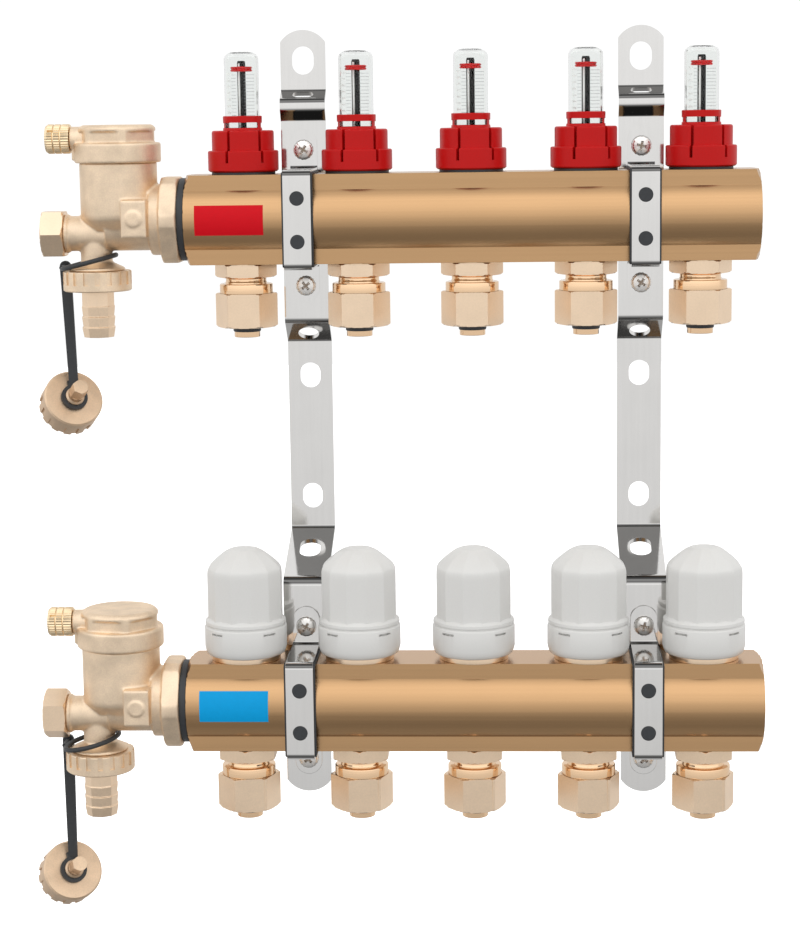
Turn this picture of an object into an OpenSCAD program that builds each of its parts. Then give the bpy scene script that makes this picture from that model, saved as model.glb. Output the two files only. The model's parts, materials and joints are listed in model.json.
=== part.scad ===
// Underfloor heating manifold: two brass bars on a pair of wall brackets.
// Origin: wall plane, centre of the left bracket's two wall slots.
// +X to the right along the bars, -Y out from the wall, +Z up. Millimetres.

/* [Bars] */
// Distance between neighbouring circuits
circuit_pitch = 50; // [44:1:60]
// Distance between the supply bar axis and the return bar axis
bar_gap = 210; // [196:1:260]
// Height of the supply bar axis above the middle of the wall slots
supply_up = 101; // [92:1:120]
// Radius of the round part of the bar section
bar_r = 18.25; // [17:0.25:22]
// Height of the bar section over its two flats
bar_h = 39; // [37:0.5:46]
// Depth of the flat faces on top and below
bar_flat = 26; // [23:0.5:30]
// Radius of the water way along the bar
bar_bore_r = 13.5; // [11:0.25:14]
// Radius of the threaded mouths at the bar ends
mouth_r = 15.2; // [14.5:0.1:16]
// Depth of the threaded mouths
mouth_depth = 14; // [13:1:18]

/* [Brackets] */
// Width of the bracket strip
strip_w = 20; // [17:0.5:26]
// Thickness of the bracket strip
strip_t = 2; // [1.5:0.25:3]
// Wall to the back of the tab above the supply plate
tab_offset = 8; // [6:0.5:10]
// Wall to the back of the supply plate
upper_offset = 12; // [8:0.5:18]
// Wall to the back of the return plate
lower_offset = 44; // [40:0.5:55]
// Distance between the two wall slots of a bracket
slot_gap = 56; // [46:1:68]
// Width of a wall slot
slot_w = 9.2; // [6:0.1:10]
// Length of a wall slot, end to end
slot_l = 11.6; // [11:0.1:16]

/* [Clamps] */
// Width of the clamp strap
clamp_w = 12; // [10:0.5:15]
// Thickness of the clamp strap
clamp_t = 1.2; // [0.8:0.1:2]
// Thickness of the rubber lining
liner_t = 1; // [0.5:0.1:2]
// Distance from the bar axis down to the lower clamp screw
clamp_screw = 31; // [29:0.5:36]
// Distance from the bar axis up to the upper clamp screw
clamp_screw_up = 29.5; // [28:0.5:36]
// Clamp screw thread radius
screw_r = 2.45; // [1.9:0.05:3]

/* [Outlets] */
// Width across flats of the outlet nuts
outlet_af = 24; // [22:0.5:30]
// Height of the outlet nuts
nut_h = 15; // [12:0.5:20]
// Radius of the pipe insert
insert_r = 5.7; // [4.5:0.1:7]
// Radius of the port tapped in the bar for each fitting
port_r = 10; // [9:0.1:11]

/* [Flow meters] */
// Radius of the setting ring's lower step
ring_r = 15.45; // [14.5:0.1:19]
// Radius of the sight glass
glass_r = 7.55; // [6.5:0.05:8.5]
// Height of the sight glass top above the bar axis
glass_top = 73.6; // [68:0.5:90]
// Stroke of the flow indicator
flow_stroke = 20; // [16:0.5:20]

/* [Valve caps] */
// Radius of the cap's faceted body over its corners
cap_r = 16.3; // [15.6:0.1:19]
// Radius of the cap's skirt
cap_skirt_r = 17.95; // [17:0.1:20]
// Height of the cap top above the bar axis
cap_top = 69; // [62:0.5:84]
// Radius of the thread the cap turns on
cap_thread_r = 14; // [12.5:0.1:14.2]
// Valve pin radius
pin_r = 2.5; // [2:0.1:3]

/* [End units] */
// Radius of the vent chamber
chamber_r = 17; // [16:0.25:19]
// Radius of the chamber lid's rim
lid_r = 18.95; // [18:0.25:22]
// Vent chamber axis to the bar's end
chamber_x = 30.5; // [29:0.5:36]
// Width across flats of the end unit's big hexagon
big_af = 37.4; // [36:0.2:42]
// Radius of the union nut on the drain spigot
union_r = 15.1; // [14:0.1:15.2]
// Radius of the drain spigot's thread
spigot_r = 11; // [10:0.1:11.5]
// Radius of the hose tail over its barbs
tail_r = 7.7; // [7:0.1:9]
// Radius of the hanging drain cap
dcap_r = 13.45; // [12.8:0.1:15]

/* [Hidden] */
$fn = 64;
n_circuits = 5;
bar_len = n_circuits * circuit_pitch;
bar_x0 = -circuit_pitch;
span = 3 * circuit_pitch;
zu = supply_up;
zl = supply_up - bar_gap;
yu = -(upper_offset + strip_t + bar_r);
yl = -(lower_offset + strip_t + bar_r);
bt = max(bar_h / 2, bar_r + 1.25);
brass = [0.80, 0.62, 0.38];
cast = [0.86, 0.74, 0.56];
steel = [0.78, 0.78, 0.79];
rubber = [0.13, 0.14, 0.15];
red = [0.82, 0.12, 0.12];
white = [0.90, 0.90, 0.89];
// running clearance between a turning part and its seat
run = 0.05;

// ---- helpers ----
function xc(i) = (i - 1.5) * circuit_pitch;

module circuits() { for (i = [1 : n_circuits]) translate([xc(i), 0, 0]) children(); }
module on_supply() { translate([0, yu, zu]) children(); }
module on_return() { translate([0, yl, zl]) children(); }
module along_x() { rotate([0, 90, 0]) children(); }

// ring or rod turned about Z, between two heights
module turned(r_out, r_in, z0, z1) {
  translate([0, 0, z0]) difference() {
    cylinder(r = r_out, h = z1 - z0);
    if (r_in > 0) translate([0, 0, -1]) cylinder(r = r_in, h = z1 - z0 + 2);
  }
}

// hexagon between two heights, corners taken off by a turning cut at both ends
module turned_hex(af, z0, z1, r_max, r_end) {
  c = (r_max - r_end) * 0.58;
  intersection() {
    translate([0, 0, z0]) cylinder(r = af / sqrt(3), h = z1 - z0, $fn = 6);
    rotate_extrude() polygon([[0, z0], [r_end, z0], [r_max, z0 + c],
      [r_max, z1 - c], [r_end, z1], [0, z1]]);
  }
}

// polyline with eased corners: s is how far the easing reaches from each corner
function eased(p, s) = [for (i = [0 : len(p) - 1])
  if (i == 0 || i == len(p) - 1) p[i]
  else let (a = p[i] + s * unit(p[i - 1] - p[i]), b = p[i] + s * unit(p[i + 1] - p[i]))
    each [for (t = [0 : 0.25 : 1]) (1 - t) * (1 - t) * a + 2 * t * (1 - t) * p[i] + t * t * b]];
function unit(v) = v / norm(v);
function side(p, i, d) = let (
  a = i == 0 ? p[0] : p[i - 1], b = i == len(p) - 1 ? p[i] : p[i + 1],
  u = i == 0 ? unit(p[1] - p[0]) : unit(p[i] - a),
  v = i == len(p) - 1 ? u : unit(b - p[i]),
  m = unit(u + v), k = d / max(0.5, m * u)) p[i] + k * [-m[1], m[0]];
// strip of sheet seen from its edge
module sheet_edge(p, t) {
  polygon(concat([for (i = [0 : len(p) - 1]) side(p, i, t / 2)],
    [for (i = [len(p) - 1 : -1 : 0]) side(p, i, -t / 2)]));
}
// the (y, z) outline drawn along X, centred
module across(w) {
  translate([-w / 2, 0, 0]) rotate([90, 0, 90]) linear_extrude(w) children();
}
// the (x, z) outline drawn right through along Y
module through_y() {
  translate([0, 80, 0]) rotate([90, 0, 0]) linear_extrude(200) children();
}
module oblong(w, l) {
  circ = l - w;
  for (s = [-1, 1]) translate([0, s * circ / 2]) circle(r = w / 2);
  if (circ > 0) square([w, circ], center = true);
}
// angular groove cutters around Z
module grooves(n, r, depth, w, z0, z1, a0 = 0) {
  for (k = [0 : n - 1]) rotate([0, 0, a0 + k * 360 / n])
    translate([r - depth, -w / 2, z0]) cube([depth + 3, w, z1 - z0]);
}

// ---- bars ----
module bar_solid() {
  rc = norm([bar_flat / 2, bt]) + 0.3;
  cut = 2.3;
  difference() {
    intersection() {
      rotate([90, 0, 90]) linear_extrude(bar_len) {
        circle(r = bar_r);
        square([bar_flat, 2 * bt], center = true);
      }
      along_x() rotate_extrude() polygon([[0, 0], [bar_r + 0.1, 0], [rc, cut],
        [rc, bar_len - cut], [bar_r + 0.1, bar_len], [0, bar_len]]);
    }
    translate([-1, 0, 0]) along_x() cylinder(r = bar_bore_r, h = bar_len + 2);
    translate([-1, 0, 0]) along_x() cylinder(r = mouth_r, h = mouth_depth + 1);
    translate([bar_len - mouth_depth, 0, 0]) along_x()
      cylinder(r = mouth_r, h = mouth_depth + 1);
    for (i = [0 : n_circuits - 1]) translate([(i + 0.5) * circuit_pitch, 0, -bt - 1])
      cylinder(r = port_r, h = 2 * bt + 2);
  }
}
module supply_bar() { color(brass) on_supply() translate([bar_x0, 0, 0]) bar_solid(); }
module return_bar() { color(brass) on_return() translate([bar_x0, 0, 0]) bar_solid(); }

// ---- brackets ----
tab_top = zu + 82.2;
foot = zl - 46.8;
mid_top = zu - 56.5;
mid_low = min(-slot_gap / 2 - 15.5, zl + 65.5);
module bracket() {
  h = strip_t / 2;
  ym = -h;
  yt = -(tab_offset + h);
  ys = -(upper_offset + h);
  yb = -(lower_offset + h);
  line = eased([[yt, tab_top], [yt, zu + 55], [ys - 3.4, zu + 51],
    [ys - 3.4, zu + 47.4], [ys, zu + 42.8], [ys, zu - 46.8], [ym, mid_top],
    [ym, mid_low], [yb, mid_low - 15.5], [yb, foot]], 1.6);
  r_end = 12 * strip_w / 20;
  difference() {
    intersection() {
      across(strip_w) sheet_edge(line, strip_t);
      through_y() union() {
        translate([-strip_w, foot + r_end]) square([2 * strip_w, tab_top - foot - 2 * r_end]);
        translate([0, tab_top - r_end]) circle(r = r_end);
        translate([0, foot + r_end]) circle(r = r_end);
      }
    }
    // tab slot, wall slots and clamp screw holes
    through_y() {
      translate([0, zu + 68.8]) oblong(9.8, 12.4);
      for (s = [-1, 1]) translate([0, s * slot_gap / 2]) oblong(slot_w, slot_l);
      for (z = [zu, zl]) translate([0, z]) at_screws() circle(r = screw_r + 0.1);
    }
    // hole in the small step under the tab
    translate([0, (yt + ys - 3.4) / 2, zu + 53]) rotate([-28, 0, 0])
      linear_extrude(12, center = true) resize_free(9.4, 4.8);
    // round hole in the upper ramp and long hole in the lower ramp
    ramp_hole([ys, zu - 46.8], [ym, mid_top], 0.6, 9.4, 9.4);
    ramp_hole([ym, mid_low], [yb, mid_low - 15.5], 0.42, 9.4, 15.5);
  }
}
module resize_free(w, l) { square([w - l, l], center = true);
  for (s = [-1, 1]) translate([s * (w - l) / 2, 0]) circle(r = l / 2); }
module ramp_hole(a, b, t, w, l) {
  d = b - a;
  c = a + t * d;
  ang = atan2(d[1], d[0]);
  translate([0, c[0], c[1]]) rotate([ang, 0, 0]) linear_extrude(12, center = true)
    oblong(w, l);
}
module left_bracket() { color(steel) bracket(); }
module right_bracket() { color(steel) translate([span, 0, 0]) bracket(); }

// ---- clamps ----
module at_screws() {
  translate([0, clamp_screw_up]) children();
  translate([0, -clamp_screw]) children();
}
// depth from the bar axis back to the plate, out to the inside of the strap
module clamp() {
  yp = bar_r - clamp_t / 2;
  yf = -(bar_r + liner_t + clamp_t / 2);
  zt = bt + liner_t + clamp_t / 2;
  top = clamp_screw + 7.5;
  line = eased([[yp, top], [yp, zt], [yf, zt], [yf, -zt], [yp, -zt], [yp, -top]], 1.1);
  difference() {
    intersection() {
      across(clamp_w) sheet_edge(line, clamp_t);
      through_y() union() {
        square([2 * clamp_w, 2 * top - clamp_w], center = true);
        for (s = [-1, 1]) translate([0, s * (top - clamp_w / 2)]) circle(r = clamp_w / 2);
      }
    }
    through_y() at_screws() circle(r = screw_r + 0.1);
    for (s = [-1, 1]) translate([0, yf + 3, s * 9.35]) rotate([90, 0, 0])
      cylinder(r = 3.15, h = 8);
  }
}
module clamp_liner() {
  w = clamp_w + 1.6;
  z = bt + liner_t;
  yf = -(bar_r + liner_t);
  difference() {
    across(w) polygon([[yf, -z + 0.8], [yf + 0.8, -z], [bar_r - clamp_t - 0.4, -z],
      [bar_r - clamp_t - 0.4, z], [yf + 0.8, z], [yf, z - 0.8]]);
    translate([-w, -bar_r, -bt]) cube([2 * w, 3 * bar_r, 2 * bt]);
  }
  for (s = [-1, 1]) translate([0, yf + 0.5, s * 9.35]) rotate([90, 0, 0])
    cylinder(r = 3.1, h = clamp_t + 0.5);
}
module clamp_screw_part() {
  y0 = bar_r - clamp_t;
  for (s = [-1, 1]) translate([0, 0, s > 0 ? clamp_screw_up : -clamp_screw]) {
    difference() {
      translate([0, y0, 0]) rotate([90, 0, 0]) rotate_extrude() polygon(
        [[0, 0], [4.6, 0], [4.6, 0.7], [4.2, 1.6], [3.2, 2.4], [1.8, 2.8], [0, 2.9]]);
      for (a = [0, 90]) translate([0, y0 - 2.9, 0]) rotate([0, a + 45 * (s - 1) / 3, 0])
        cube([4.6, 2.2, 1.1], center = true);
    }
    translate([0, y0 - 0.5, 0]) rotate([-90, 0, 0])
      cylinder(r = screw_r, h = clamp_t + strip_t + 6.5);
  }
}
module clamp_nut_part() {
  for (z = [clamp_screw_up, -clamp_screw]) translate([0, bar_r + strip_t, z]) rotate([-90, 0, 0])
    difference() {
      turned_hex(8, 0, 4, 4.5, 3.9);
      translate([0, 0, -1]) cylinder(r = screw_r + 0.05, h = 6);
    }
}
module both_clamps() { for (x = [0, span]) translate([x, 0, 0]) children(); }
module supply_clamps() { color(steel) on_supply() both_clamps() clamp(); }
module return_clamps() { color(steel) on_return() both_clamps() clamp(); }
module clamp_liners() {
  color(rubber) { on_supply() both_clamps() clamp_liner(); on_return() both_clamps() clamp_liner(); }
}
module clamp_screws() {
  color(steel) { on_supply() both_clamps() clamp_screw_part();
    on_return() both_clamps() clamp_screw_part(); }
}
module clamp_nuts() {
  color(steel) { on_supply() both_clamps() clamp_nut_part();
    on_return() both_clamps() clamp_nut_part(); }
}

// ---- outlets ----
hexb = -bt - 6;
neckb = hexb - 2.9;
collb = neckb - 4.2;
nutb = collb - nut_h;
module nipple(turn) {
  difference() {
    union() {
      mirror([0, 0, 1]) rotate([0, 0, turn]) turned_hex(outlet_af, bt, -hexb,
        outlet_af / 2 + 1.5, outlet_af / 2 + 0.3);
      turned(port_r - 0.1, 0, -bt - 0.5, -bt + 7.4);
      turned(9.2, 0, neckb - 0.5, hexb + 0.5);
      turned(11.7, 0, collb, neckb);
      turned(10.2, 0, collb - 7.6, collb + 0.5);
    }
    translate([0, 0, collb - 12]) cylinder(r = 4.6, h = 60);
  }
}
module outlet_nut(turn) {
  difference() {
    mirror([0, 0, 1]) rotate([0, 0, turn]) turned_hex(outlet_af, -collb, -nutb,
      outlet_af / 2 + 1.55, outlet_af / 2 + 0.2);
    turned(10.3, 0, nutb + 4.2, collb + 1);
    turned(insert_r + 0.5, 0, nutb - 1, nutb + 5);
  }
}
module supply_nipples() { color(brass) on_supply() circuits() nipple(0); }
module return_nipples() { color(brass) on_return() circuits() nipple(30); }
module supply_nuts() { color(cast) on_supply() circuits() outlet_nut(0); }
module return_nuts() { color(cast) on_return() circuits() outlet_nut(9); }
module insert_part() {
  turned(8.2, 4.3, collb - 9.2, collb - 7.6);
  turned(insert_r, 4.3, nutb - 4.5, collb - 9);
}
module pipe_inserts() {
  color(brass) { on_supply() circuits() insert_part(); on_return() circuits() insert_part(); }
}
module squeeze_part() {
  zt = collb - 9.2;
  zb = nutb + 4.2;
  difference() {
    rotate_extrude() polygon([[insert_r + 0.02, zb], [8.6, zb], [9.4, zt - 0.6], [9.4, zt],
      [insert_r + 0.02, zt]]);
    translate([0, -0.5, zb - 1]) cube([20, 1, zt - zb + 2]);
  }
}
module squeeze_rings() {
  color(brass) { on_supply() circuits() squeeze_part(); on_return() circuits() squeeze_part(); }
}
module oring_part() {
  rotate_extrude() polygon([[insert_r, nutb], [insert_r + 0.4, nutb],
    [insert_r + 0.45, nutb - 1.6], [insert_r + 0.2, nutb - 2.1], [insert_r, nutb - 2.1]]);
}
module insert_orings() {
  color(rubber) { on_supply() circuits() oring_part(); on_return() circuits() oring_part(); }
}

// ---- flow meters, heights above the bar axis ----
ring_top = bt + 19;
step_z = bt + 10.3;
module flow_body_part() {
  turned(port_r - 0.1, 6.5, 2, bt + 1.2);
  turned(11.5, 6.5, bt + 1.1, bt + 2.5);
  turned(glass_r + 1.45, 6.5, bt + 2.4, bt + 4.5);
  turned(glass_r + 1.45, glass_r + 0.05, bt + 4.5, bt + 16.5);
}
module flow_bodies() { color(brass) on_supply() circuits() flow_body_part(); }
module flow_seals() {
  color(rubber) on_supply() circuits() turned(ring_r - 1.5, port_r, bt, bt + 1.1);
}
module glass_part() {
  w = 1;
  g = glass_r;
  z0 = bt + 4.5;
  zd = glass_top - 3.2;
  outer = [for (a = [0 : 7.5 : 90]) [(g - 3.2) + 3.2 * cos(a), zd + 3.2 * sin(a)]];
  inner = [for (a = [90 : -7.5 : 0]) [(g - 3.2) + (3.2 - w) * cos(a), zd + (3.2 - w) * sin(a)]];
  rotate_extrude() polygon(concat([[g - w, z0], [g, z0]], outer, [[0, glass_top],
    [0, glass_top - w]], inner));
}
module sight_glasses() { color([0.85, 0.9, 0.9, 0.35]) on_supply() circuits() glass_part(); }
module flow_ring(i) {
  r1 = ring_r;
  r2 = ring_r - 1.85;
  b = glass_r + 1.45 + run;
  g = glass_r + run;
  z0 = bt + 1.15;
  color(red) on_supply() translate([xc(i), 0, 0]) difference() {
    rotate_extrude() polygon([[12, z0], [r1 - 0.4, z0], [r1, z0 + 0.4], [r1, step_z - 0.4],
      [r1 - 0.4, step_z], [r2, step_z], [r2, ring_top - 0.5], [r2 - 0.5, ring_top],
      [g + 0.95, ring_top], [g + 0.95, ring_top + 1.1], [g + 0.55, ring_top + 1.2],
      [g + 0.55, ring_top + 3.2], [g + 0.95, ring_top + 3.3], [g + 0.95, ring_top + 6.1],
      [g + 0.8, ring_top + 6.3], [g, ring_top + 6.3], [g, bt + 16.6], [b, bt + 16.6],
      [b, bt + 2.55], [12, bt + 2.55]]);
    // six finger slots
    grooves(6, r1, 4.6, 1.5, bt + 5.1, ring_top + 1, a0 = -111);
    // two windows in the collar
    for (a = [0, 180]) rotate([0, 0, a - 180]) translate([0, 0, ring_top + 1.15])
      rotate_extrude(angle = 120) translate([g - 1, 0]) square([4, 2.1]);
  }
}
module flow_indicator(i) {
  zb = flow_stroke + 8;
  color(red) on_supply() translate([xc(i), 0, 0]) {
    turned(4.75, 0, glass_top - 9.7, glass_top - 7.6);
    turned(1.8, 0, zb, glass_top - 5.1);
    turned(5.6, 0, zb, zb + 2);
  }
}
module flow_ring_1() flow_ring(1);
module flow_ring_2() flow_ring(2);
module flow_ring_3() flow_ring(3);
module flow_ring_4() flow_ring(4);
module flow_ring_5() flow_ring(5);
module flow_indicator_1() flow_indicator(1);
module flow_indicator_2() flow_indicator(2);
module flow_indicator_3() flow_indicator(3);
module flow_indicator_4() flow_indicator(4);
module flow_indicator_5() flow_indicator(5);

// ---- return valves ----
module valve_insert_part() {
  difference() {
    union() {
      turned(port_r - 0.1, 0, 4, bt + 0.2);
      turned(15, 0, bt, bt + 2.2);
      turned(cap_thread_r, 0, bt + 2, bt + 11.5);
      turned(8, 0, bt + 11, bt + 16.5);
    }
    turned(6.5, 0, 3, 14);
    turned(pin_r + run, 0, 13, bt + 18);
  }
}
module valve_inserts() { color(brass) on_return() circuits() valve_insert_part(); }
module handwheel(i) {
  z0 = bt + 2.5;
  s = cap_skirt_r;
  zc = bt + 18.3;
  color(white) on_return() translate([xc(i), 0, 0]) difference() {
    union() {
      // faceted body under a domed turning
      intersection() {
        rotate([0, 0, 15]) turned_polygon(12, cap_r, z0 + 6, cap_top);
        rotate_extrude() polygon([[0, z0 + 5], [cap_r + 1, z0 + 5], [cap_r + 1, cap_top - 10.5],
          [cap_r * 0.965, cap_top - 9.3], [cap_r * 0.84, cap_top - 6.4],
          [cap_r * 0.66, cap_top - 3.6], [cap_r * 0.48, cap_top - 1.6],
          [cap_r * 0.28, cap_top - 0.5], [cap_r * 0.1, cap_top - 0.05], [0, cap_top]]);
      }
      rotate_extrude() polygon([[0, z0], [s - 1.1, z0], [s - 0.3, z0 + 0.6], [s, z0 + 1.5],
        [s, zc - 3], [s - 0.2, zc - 2.2], [cap_r - 0.4, zc + 0.6], [0, zc + 0.6]]);
    }
    turned(cap_thread_r + run, 0, z0 - 1, bt + 11.9);
    difference() {
      turned(12.3, 0, bt + 11.8, cap_top - 10);
      turned(4, 0, bt + 24.9, cap_top - 9);
    }
    // four thin slits in the skirt
    for (a = [-38, 42, 142, -138]) rotate([0, 0, a - 90 - 8])
      translate([0, 0, bt + 12.7]) rotate_extrude(angle = 16)
      translate([s - 2.4, 0]) square([4, 1]);
  }
}
module turned_polygon(n, r, z0, z1) { translate([0, 0, z0]) cylinder(r = r, h = z1 - z0, $fn = n); }
module valve_pin(i) {
  color(steel) on_return() translate([xc(i), 0, 0]) {
    turned(pin_r, 0, -8, bt + 24.5);
    turned(8, 0, -9, -7);
  }
}
module handwheel_1() handwheel(1);
module handwheel_2() handwheel(2);
module handwheel_3() handwheel(3);
module handwheel_4() handwheel(4);
module handwheel_5() handwheel(5);
module valve_pin_1() valve_pin(1);
module valve_pin_2() valve_pin(2);
module valve_pin_3() valve_pin(3);
module valve_pin_4() valve_pin(4);
module valve_pin_5() valve_pin(5);

// ---- end units: x is measured from the bar's left end ----
tube_z = -5.7;
spig_x = -(chamber_x + 10.8);
tube_x = spig_x - 13.4;
coll_z = -18.4;
unut_z = coll_z - 3.8;
unut_b = unut_z - 8.8;
lid_z = 25.2;
boss_z = lid_z + 10.6;
lid_x = -chamber_x;
cap_x = lid_x - chamber_r - 3.6;
module at_left() { translate([bar_x0, 0, 0]) children(); }
module rod_x(r, x0, x1, z) { translate([x0, 0, z]) along_x() cylinder(r = r, h = x1 - x0); }
module end_body() {
  at_left() difference() {
    union() {
      rod_x(mouth_r - 0.1, -3.5, 12, 0);
      translate([-3, 0, 0]) rotate([0, -90, 0]) intersection() {
        rotate([0, 0, 30]) cylinder(r = big_af / sqrt(3), h = 7.8, $fn = 6);
        rotate_extrude() polygon([[0, 0], [big_af / 2 + 0.7, 0], [big_af / 2 + 1.6, 0.8],
          [big_af / 2 + 1.6, 7], [big_af / 2 + 0.7, 7.8], [0, 7.8]]);
      }
      rod_x(15.6, -16, -10.5, 0);
      rod_x(12.4, spig_x + 5.7, -10.5, -1);
      // vent chamber with a rounded foot
      translate([lid_x, 0, 0]) rotate_extrude() polygon([[0, -4], [chamber_r - 5, -4],
        [chamber_r - 1.6, -0.6], [chamber_r - 0.4, 0.8], [chamber_r, 2.4],
        [chamber_r, lid_z], [0, lid_z]]);
      // gauge boss, blank
      translate([-27, -19.3, -7]) cube([11.2, 19.3, 16.3]);
      translate([-21.4, -18, 1.2]) rotate([90, 0, 0]) cylinder(r = 3.3, h = 1.9);
      rod_x(7.75, tube_x, -14, tube_z);
      rod_x(8.6, tube_x, tube_x + 1.5, tube_z);
      // drain spigot with its cone and thread
      translate([spig_x, 0, 0]) rotate_extrude() polygon([[0, tube_z], [6.95, tube_z],
        [6.95, coll_z], [12.45, coll_z - 2.6], [12.45, unut_z + 0.25],
        [spigot_r, unut_z + 0.25], [spigot_r, unut_b + 3], [0, unut_b + 3]]);
    }
    rod_x(11.5, -28, 13, 0);
    translate([lid_x, 0, 3]) cylinder(r = chamber_r - 3, h = 40);
    rod_x(5, tube_x - 1, -28, tube_z);
    translate([spig_x, 0, unut_b - 2]) cylinder(r = 5, h = tube_z - unut_b + 2);
  }
}
module supply_end_body() { color(cast) on_supply() end_body(); }
module return_end_body() { color(cast) on_return() end_body(); }
module seal_part() { at_left() rod_ring(bar_r - 0.1, mouth_r, -3, 0); }
module rod_ring(r1, r0, x0, x1) { translate([x0, 0, 0]) along_x() turned(r1, r0, 0, x1 - x0); }
module end_seals() { color(rubber) { on_supply() seal_part(); on_return() seal_part(); } }
module lid_part() {
  top = lid_z + 16.5;
  at_left() translate([lid_x, 0, 0]) {
    difference() {
      union() {
        turned(chamber_r - 3.1, 0, lid_z - 4, lid_z + 1);
        rotate_extrude() polygon([[0, lid_z], [lid_r - 0.5, lid_z], [lid_r, lid_z + 0.6],
          [lid_r, lid_z + 8.1], [lid_r - 0.6, lid_z + 8.7], [0, lid_z + 8.7]]);
        intersection() {
          rotate([0, 0, -12 - 90 + 30]) translate([0, 0, lid_z + 8])
            cylinder(r = 2 * (chamber_r - 1.7) / sqrt(3), h = 12, $fn = 6);
          rotate_extrude() polygon([[0, lid_z + 8], [chamber_r + 0.05, lid_z + 8],
            [chamber_r + 0.05, top - 1.6], [chamber_r - 1.2, top - 0.3],
            [chamber_r - 2.2, top], [0, top]]);
        }
        rotate_extrude() polygon([[0, top - 2.8], [chamber_r - 0.2, top - 2.8],
          [chamber_r - 0.2, top - 1.4], [chamber_r - 1.4, top - 0.3], [chamber_r - 2.4, top],
          [0, top]]);
        // side boss and the peg the vent cap turns on
        rod_x(5.3, cap_x - lid_x, -chamber_r + 4, boss_z);
        translate([-chamber_r - 2.9, -3.2, lid_z + 1.2]) cube([4, 6.4, boss_z - lid_z - 1]);
      }
      turned(chamber_r - 5.5, 0, lid_z - 5, top - 3);
    }
    rod_x(2.5, cap_x - lid_x - 7, cap_x - lid_x + 1, boss_z);
  }
}
module vent_lids() { color(cast) { on_supply() lid_part(); on_return() lid_part(); } }
module vent_cap() {
  r = 6.45;
  at_left() translate([cap_x - 0.1, 0, boss_z]) rotate([0, -90, 0]) difference() {
    rotate_extrude() polygon([[2.5 + run, 0], [r - 0.4, 0], [r, 0.5], [r, 9.6], [r - 0.7, 10.6],
      [0, 10.6], [0, 7.3], [2.5 + run, 7.3]]);
    grooves(20, r, 0.45, 0.55, 0.5, 9.9);
    for (z = [3.4, 6.6]) translate([0, 0, z]) turned(r + 1, r - 0.3, 0, 0.35);
    // small bleed slot
    rotate([0, 0, -55]) translate([r - 1.2, -0.5, 6.9]) cube([3, 1, 2.4]);
  }
}
module supply_vent_cap() { color(cast) on_supply() vent_cap(); }
module return_vent_cap() { color(cast) on_return() vent_cap(); }
module bonnet_part(turn) {
  at_left() translate([tube_x, 0, tube_z]) rotate([0, -90, 0]) difference() {
    union() {
      rotate([0, 0, turn]) turned_hex(19.5, 0, 9.9, 10.9, 9.3);
      turned(4.9, 0, -6, 1);
    }
    translate([0, 0, -7]) cylinder(r = 4 + run, h = 20);
  }
}
module drain_bonnets() {
  color(cast) { on_supply() bonnet_part(30); on_return() bonnet_part(0); }
}
module spindle_part() {
  at_left() translate([tube_x, 0, tube_z]) rotate([0, -90, 0]) difference() {
    turned(4, 0, -5.5, 9.2);
    translate([-5, -0.7, 7.4]) cube([10, 1.4, 3]);
  }
}
module supply_drain_spindle() { color(brass) on_supply() spindle_part(); }
module return_drain_spindle() { color(brass) on_return() spindle_part(); }
module union_part() {
  at_left() translate([spig_x, 0, 0]) difference() {
    rotate_extrude() polygon([[spigot_r + run, unut_z], [union_r - 0.3, unut_z],
      [union_r, unut_z - 0.4], [union_r, unut_b + 0.5], [union_r - 0.5, unut_b],
      [tail_r + 0.15, unut_b], [tail_r + 0.15, unut_b + 1.6], [spigot_r + run, unut_b + 1.6]]);
    grooves(18, union_r, 0.75, 2.1, unut_b + 3, unut_z + 1);
  }
}
module supply_union_nut() { color(cast) on_supply() union_part(); }
module return_union_nut() { color(cast) on_return() union_part(); }
module tail_part() {
  e = unut_b - 20.6;
  at_left() translate([spig_x, 0, 0]) difference() {
    union() {
      turned(spigot_r - 0.1, 0, unut_b + 1.65, unut_b + 3);
      intersection() {
        rotate_extrude() polygon([[0, unut_b + 2], [tail_r - 0.3, unut_b + 2],
          [tail_r - 0.3, e + 14], [tail_r, e + 13.6], [tail_r - 0.5, e + 9.4],
          [tail_r, e + 9], [tail_r - 0.5, e + 4.8], [tail_r, e + 4.4], [tail_r - 0.8, e],
          [0, e]]);
        rotate([0, 0, 9]) turned_polygon(10, tail_r + 0.1, e - 1, unut_b + 3);
      }
    }
    translate([0, 0, e - 1]) cylinder(r = 5, h = 40);
  }
}
module hose_tails() { color(cast) { on_supply() tail_part(); on_return() tail_part(); } }

// ---- tethered drain caps: the cap hangs face out on a flat rubber strap ----
peg = [spig_x - union_r - 1.2, 0, -20.9];
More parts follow.
